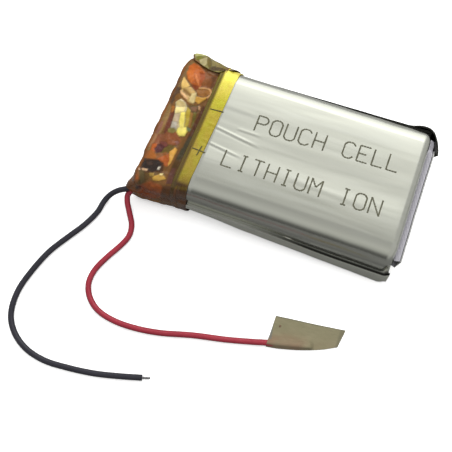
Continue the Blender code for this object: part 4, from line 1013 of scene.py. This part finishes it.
WRAP_BASE = (112, 76, 38)
def wrap_mesh():
    cols = 400
    xs = [4.35, 4.15, 3.95, 3.75, 3.55, 3.38, 3.22, 3.06, 2.9, 2.74, 2.58] + list(np.arange(2.4, -2.45, -0.135)) + [-2.55, -2.68]
    z_top = lambda x: float(np.interp(x, [-2.7, -2.2, -1.0, 0.6, 2.0, 2.7, 3.05, 3.4, 3.9, 4.4], [7.75, 8.15, 8.35, 8.40, 8.25, 7.95, 7.85, 8.15, 8.88, 9.02]))
    z_bot = lambda x: float(np.interp(x, [-2.7, -1.5, 2.0, 4.4], [0.45, 0.28, 0.12, 0.02]))
    near = lambda x: float(np.interp(x, [-2.7, -1.0, 2.0, 4.4], [-12.30, -12.62, -12.62, -12.62]))
    far = lambda x: float(np.interp(x, [-2.7, -1.0, 2.0, 4.4], [12.30, 12.50, 12.58, 12.62]))
    radius = lambda x: float(np.interp(x, [-2.7, -1.0, 2.0, 4.4], [1.5, 1.9, 2.4, 2.75]))
    rings = []
    for x in xs:
        ring = rounded_ring(near(x), far(x), z_bot(x), z_top(x), radius(x), cols)
        rings.append(np.column_stack([np.full(cols, x), ring]))
    last = rings[-1]
    mid = np.array((0.0, 4.1))
    for scale, push in ((0.985, 0.22), (0.96, 0.42), (0.92, 0.56), (0.85, 0.66), (0.75, 0.72), (0.62, 0.77), (0.46, 0.80), (0.28, 0.82), (0.10, 0.83)):
        ring = last.copy()
        ring[:, 0] = -2.68 - push
        ring[:, 2] = mid[1] + (last[:, 2] - mid[1]) * scale
        ring[:, 1] = last[:, 1] * (1 - (1 - scale) * 0.62)
        rings.append(ring)
    pts = np.array(rings)
    rows = len(rings)
    # outward directions from the grid itself
    du = np.zeros_like(pts)
    du[1:-1] = pts[2:] - pts[:-2]
    du[0], du[-1] = pts[1] - pts[0], pts[-1] - pts[-2]
    dv = np.roll(pts, -1, axis=1) - np.roll(pts, 1, axis=1)
    nrm = np.cross(dv, du)
    nrm /= np.maximum(np.linalg.norm(nrm, axis=2, keepdims=True), 1e-9)
    if (nrm[5, :, 2] * np.sign(pts[5, :, 2] - 4.5)).mean() < 0:
        nrm = -nrm
    out, tint = np.zeros_like(pts), np.zeros_like(pts)
    for i in range(rows):
        for j in range(cols):
            x, y, z = pts[i, j]
            v = Vector((x * 0.62, y * 0.50, z * 0.55))
            dist, _ = noise.voronoi(v + Vector((3.1, 7.7, 1.3)))
            ridge = min(1.0, (dist[1] - dist[0]) * 1.6)
            dist2, _ = noise.voronoi(v * 2.1 + Vector((9.1, 2.7, 5.3)))
            ridge2 = min(1.0, (dist2[1] - dist2[0]) * 2.0)
            soft = n3(x, y, z, 0.42, 81)
            amount = 0.10 * (ridge - 0.5) + 0.03 * (ridge2 - 0.5) + 0.20 * soft
            calm = float(ease((4.2 - x) / 1.1))
            if z < 1.2:
                calm *= 0.35
            if z > 7 and x > 2.4:
                calm *= 0.5
            move = amount * calm * 0.95
            p = pts[i, j] + nrm[i, j] * move
            # the lead corner is drawn out to a spout
            k = float(ease((-8.4 - y) / 3.6)) * math.exp(-(((z - 3.1) / 2.3) ** 2)) * float(ease((2.4 - x) / 4.6))
            p = p + np.array((-1.75, -0.45, 0.0)) * k
            # the far top corner stands up in a fold
            f = float(ease((y - 9.6) / 2.6)) * float(ease((z - 6.0) / 2.0)) * float(ease((0.6 - x) / 2.2))
            p = p + np.array((0.55, 0.10, 0.30)) * f
            p[2] = max(p[2], 0.03)
            out[i, j] = p
    tint = paint(out.reshape(-1, 3), TAPE_PLAN, lin(WRAP_BASE)).reshape(out.shape)
    # the end turned away carries only the tape's own brown
    away = ease((-2.50 - out[:, :, 0]) / 0.45)[:, :, None]
    brown = np.array([[0.85 + 0.45 * n3(*q, 0.45, 85) + 0.15 * n3(*q, 1.6, 86) for q in row] for row in out])[:, :, None] * np.array(lin((122, 76, 36)))
    tint = tint * (1 - away) + np.clip(brown, 0.003, 1) * away
    # paler things under the tape stand a little proud of the rest
    glow = tint.mean(axis=2)
    glow = (glow + np.roll(glow, 1, 1) + np.roll(glow, -1, 1)) / 3
    proud = np.where(out[:, :, 2] > 5.5, np.clip(glow - 0.10, -0.1, 0.45), 0.0)
    out = out + nrm * (0.55 * proud)[:, :, None]
    verts = out.reshape(-1, 3)
    faces = grid_faces(rows, cols, wrap=True, flip=False)
    centre = len(verts)
    verts = np.vstack([verts, out[-1].mean(0)])
    tints = np.vstack([tint.reshape(-1, 3), tint[-1].mean(0)])
    for j in range(cols):
        faces.append([(rows - 1) * cols + j, centre, (rows - 1) * cols + (j + 1) % cols])
    return verts, faces, tints


amber = Shade("amber_tape", (120, 74, 36), 0.26, Coat_Weight=0.25, Coat_Roughness=0.12, Specular_IOR_Level=0.22)
at = amber.attribute("tint")
amber.to(amber.mix(amber.span(amber.noise((1, 1, 1), 1.5, 4, 0.6, 0.6), 0.45, 0.75, 0.0, 0.16), at.outputs["Color"], lin((78, 50, 24))), "Base Color")
amber.to(amber.span(amber.noise((1, 1, 1), 1.6, 3), 0.3, 0.7, 0.16, 0.34), "Roughness")
amber.bump((amber.noise((0.7, 0.5, 0.6), 1.3, 3, 0.5, 1.2), 0.30, 0.16), (amber.noise((1, 1, 1), 3.2, 2, 0.5, 0.5), 0.10, 0.05))
wv, wf, wt = wrap_mesh()
wrap = mesh_piece("amber_tape_wrap", wv, wf, amber, ("terminal_tape_wrap",), wt)
mesh = wrap.data
poly = mesh.polygons[8 * 400 + 200]
if poly.normal.dot(Vector((0, 0, poly.center.z - 0.0045))) < 0:
    mesh.flip_normals()
solidify(wrap, 0.06)


# loose end of the tape, folded over the far top corner

TUCK_TOP = ((-2.35, 12.25, 8.25), (-1.75, 12.70, 8.3), (-0.45, 12.85, 8.2), (1.3, 12.62, 7.9), (3.0, 12.45, 7.5), (4.9, 12.50, 7.0), (6.0, 12.60, 6.6))
TUCK_IN = ((-1.9, 11.15, 8.62), (-0.9, 10.75, 8.72), (0.4, 10.25, 8.74), (1.7, 10.05, 8.62), (2.9, 10.25, 8.45), (4.1, 10.9, 8.75), (5.2, 11.3, 8.72))


def tuck_mesh():
    cols, rows = 130, 56
    top, inn = spread(catmull(TUCK_TOP, 8), cols), spread(catmull(TUCK_IN, 8), cols)
    low = top.copy()
    low[:, 2] -= 3.4
    low[:, 1] = 12.66
    verts = []
    for i in range(rows):
        t = i / (rows - 1)
        for j in range(cols):
            if t < 0.5:
                a = t / 0.5
                p = inn[j] * (1 - a) + top[j] * a
                p = p + np.array((0, 0, 0.22)) * math.sin(math.pi * a)
            else:
                a = (t - 0.5) / 0.5
                p = top[j] * (1 - a) + low[j] * a
                p = p + np.array((0, 0.12, 0)) * math.sin(math.pi * a)
            p = p + np.array((0, 0.3, 0.5)) * 0.22 * n3(p[0], p[1], p[2], 1.0, 91)
            verts.append(p)
    verts = np.array(verts)
    return verts, grid_faces(rows, cols, flip=True), 0.66 * paint(verts, FOLD_PLAN, lin((120, 100, 46)))


pale = Shade("single_amber_layer", (190, 178, 110), 0.26, Coat_Weight=0.25, Coat_Roughness=0.1, Specular_IOR_Level=0.25)
pt = pale.attribute("tint")
pale.to(pale.mix(pale.span(pale.noise((1, 1, 1), 1.7, 3), 0.45, 0.75, 0.0, 0.15), pt.outputs["Color"], lin((150, 132, 56))), "Base Color")
pale.bump((pale.noise((1, 1, 1), 1.6, 4, 0.6, 0.8), 0.5, 0.14))
tv, tf, tt = tuck_mesh()
tuck = mesh_piece("tape_end_fold", tv, tf, pale, ("tape_end_tuck",), tt)
solidify(tuck, 0.05)


# ------------------------------------------------------------------ finishes of the parts inside, which stay as they are in the frame


def plain(name, dark, light, rough, metallic=0.0, scale=(1, 1, 1), size=1.0, bump=0.2):
    m = Shade(name, light, rough, metallic)
    grain = m.noise(scale, size, 4)
    m.to(m.mix(m.span(grain, 0.3, 0.7), lin(dark), lin(light)), "Base Color")
    m.to(m.span(grain, 0.3, 0.7, max(rough - 0.08, 0.05), min(rough + 0.08, 1)), "Roughness")
    m.bump((grain, bump, 0.03))
    return m


INSIDE = {
    "anode_winding": plain("graphite_coating", (22, 22, 24), (44, 44, 48), 0.8, 0, (1, 1, 1), 4.0),
    "cathode_winding": plain("oxide_coating", (38, 38, 42), (66, 66, 70), 0.75, 0, (1, 1, 1), 4.0),
    "separator_inner_winding": plain("separator_film", (214, 214, 208), (240, 240, 236), 0.5, 0, (0.3, 1, 1), 1.5),
    "separator_outer_winding": plain("separator_film_outer", (214, 214, 208), (240, 240, 236), 0.5, 0, (0.3, 1, 1), 1.5),
    "roll_fixing_tape": plain("roll_tape", (40, 104, 74), (70, 140, 102), 0.35, 0, (1, 1, 1), 1.5),
    "negative_tab": plain("nickel_strip", (150, 146, 136), (190, 186, 174), 0.32, 1.0, (0.2, 3, 3), 1.0),
    "positive_tab": plain("aluminium_strip", (186, 186, 188), (216, 216, 218), 0.3, 1.0, (0.2, 3, 3), 1.0),
    "board_insulation_pad": plain("barley_paper", (148, 128, 92), (180, 160, 120), 0.85, 0, (1, 1, 1), 2.0),
    "protection_board": plain("solder_mask", (10, 62, 36), (20, 86, 52), 0.3, 0, (1, 1, 1), 1.2),
    "filter_capacitor": plain("capacitor_body", (120, 88, 58), (150, 116, 82), 0.45, 0, (1, 1, 1), 3.0),
    "filter_resistor": plain("resistor_body", (26, 26, 28), (44, 44, 46), 0.4, 0, (1, 1, 1), 3.0),
    "sense_resistor": plain("resistor_body_2", (26, 26, 28), (44, 44, 46), 0.4, 0, (1, 1, 1), 3.0),
    "protection_ic": plain("moulded_package", (22, 22, 24), (38, 38, 40), 0.5, 0, (1, 1, 1), 5.0),
    "mosfet_pair": plain("moulded_package_2", (22, 22, 24), (38, 38, 40), 0.5, 0, (1, 1, 1), 5.0),
    "negative_weld_plate": plain("weld_plate", (160, 156, 146), (196, 192, 182), 0.3, 1.0, (0.3, 2, 2), 1.0),
    "positive_weld_plate": plain("weld_plate_2", (160, 156, 146), (196, 192, 182), 0.3, 1.0, (0.3, 2, 2), 1.0),
    "negative_solder_joint": plain("solder", (160, 160, 158), (206, 206, 202), 0.22, 1.0, (1, 1, 1), 2.0),
    "positive_solder_joint": plain("solder_2", (160, 160, 158), (206, 206, 202), 0.22, 1.0, (1, 1, 1), 2.0),
}
film = plain("tab_sealing_film", (196, 196, 190), (226, 226, 220), 0.4, 0, (1, 1, 1), 1.5)
for n in ("negative_tab_seal_front", "negative_tab_seal_back", "positive_tab_seal_front", "positive_tab_seal_back"):
    INSIDE[n] = film
for n, shade in INSIDE.items():
    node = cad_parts[n]
    node.data.materials.clear()
    node.data.materials.append(shade.mat)


# ------------------------------------------------------------------ floor, light and surroundings

floor_mesh = bpy.data.meshes.new("floor")
size = 3.0
floor_mesh.from_pydata([(-size, -size, 0), (size, -size, 0), (size, size, 0), (-size, size, 0)], [], [(0, 1, 2, 3)])
floor = bpy.data.objects.new("floor", floor_mesh)
scene.collection.objects.link(floor)
floor.location.z = -0.00002
paper_white = Shade("floor_white", (250, 250, 250), 0.9, Specular_IOR_Level=0.0)
paper_white.set("Emission Color", (1, 1, 1, 1))
paper_white.set("Emission Strength", 0.42)
# the floor throws back less light than it shows, as a sheet with dark surroundings does
dull = paper_white.node("ShaderNodeBsdfDiffuse")
dull.inputs["Color"].default_value = (0.27, 0.27, 0.27, 1)
which = paper_white.node("ShaderNodeLightPath")
both = paper_white.node("ShaderNodeMixShader")
paper_white.link(which.outputs["Is Camera Ray"], both.inputs[0])
paper_white.link(dull.outputs[0], both.inputs[1])
paper_white.link(paper_white.bsdf.outputs[0], both.inputs[2])
paper_white.link(both.outputs[0], paper_white.out.inputs["Surface"])
floor_mesh.materials.append(paper_white.mat)

world = bpy.data.worlds.new("studio")
scene.world = world
world.use_nodes = True
wt_ = world.node_tree
bg = wt_.nodes["Background"]
tc = wt_.nodes.new("ShaderNodeTexCoord")
sep = wt_.nodes.new("ShaderNodeSeparateXYZ")
wt_.links.new(tc.outputs["Generated"], sep.inputs[0])
# angle over the cell from the far side's horizon (0) through overhead (0.5) to the near side's horizon (1)
angle = wt_.nodes.new("ShaderNodeMath")
angle.operation = "ARCTAN2"
wt_.links.new(sep.outputs["Z"], angle.inputs[0])
wt_.links.new(sep.outputs["Y"], angle.inputs[1])
share = wt_.nodes.new("ShaderNodeMath")
share.operation = "DIVIDE"
share.inputs[1].default_value = math.pi
wt_.links.new(angle.outputs[0], share.inputs[0])
sky = wt_.nodes.new("ShaderNodeValToRGB")
stops = tuple((a / 180, v) for a, v in ((0, 0.9), (38, 1.4), (52, 1.75), (56, 1.52), (59, 0.96), (62, 0.66), (66, 0.43), (73, 0.35), (90, 0.38), (127, 0.50), (140, 0.43), (152, 0.26), (166, 0.12), (180, 0.11)))
sky.color_ramp.elements[0].position, sky.color_ramp.elements[0].color = stops[0][0], (stops[0][1],) * 3 + (1,)
sky.color_ramp.elements[1].position, sky.color_ramp.elements[1].color = stops[-1][0], (stops[-1][1],) * 3 + (1,)
for pos, v in stops[1:-1]:
    e = sky.color_ramp.elements.new(pos)
    e.color = (v, v, v * 0.97, 1)
wt_.links.new(share.outputs[0], sky.inputs[0])
# the two ends of the cell look out on plain grey walls
side_x = wt_.nodes.new("ShaderNodeMath")
side_x.operation = "ABSOLUTE"
wt_.links.new(sep.outputs["X"], side_x.inputs[0])
side_share = wt_.nodes.new("ShaderNodeMapRange")
side_share.inputs["From Min"].default_value, side_share.inputs["From Max"].default_value = 0.22, 0.50
wt_.links.new(side_x.outputs[0], side_share.inputs["Value"])
sides = wt_.nodes.new("ShaderNodeMix")
sides.data_type = "RGBA"
wt_.links.new(side_share.outputs[0], sides.inputs[0])
wt_.links.new(sky.outputs[0], sides.inputs[6])
sides.inputs[7].default_value = (0.44, 0.44, 0.435, 1)
wt_.links.new(sides.outputs[2], bg.inputs["Color"])
bg.inputs["Strength"].default_value = 1.0


def lamp(name, at, toward, size_m, watts, colour=(1, 1, 1)):
    data = bpy.data.lights.new(name, "AREA")
    data.shape = "DISK"
    data.size = size_m
    data.energy = watts
    data.color = colour
    obj = bpy.data.objects.new(name, data)
    scene.collection.objects.link(obj)
    obj.location = at
    obj.rotation_mode = "QUATERNION"
    obj.rotation_quaternion = (Vector(toward) - Vector(at)).to_track_quat("-Z", "Y")
    obj.visible_glossy = False
    return obj


lamp("key", (-0.10, 0.32, 0.42), (0, 0, 0), 0.36, 1.6)
lamp("overhead", (0.05, -0.05, 0.55), (0, -0.01, 0), 0.40, 1.2)
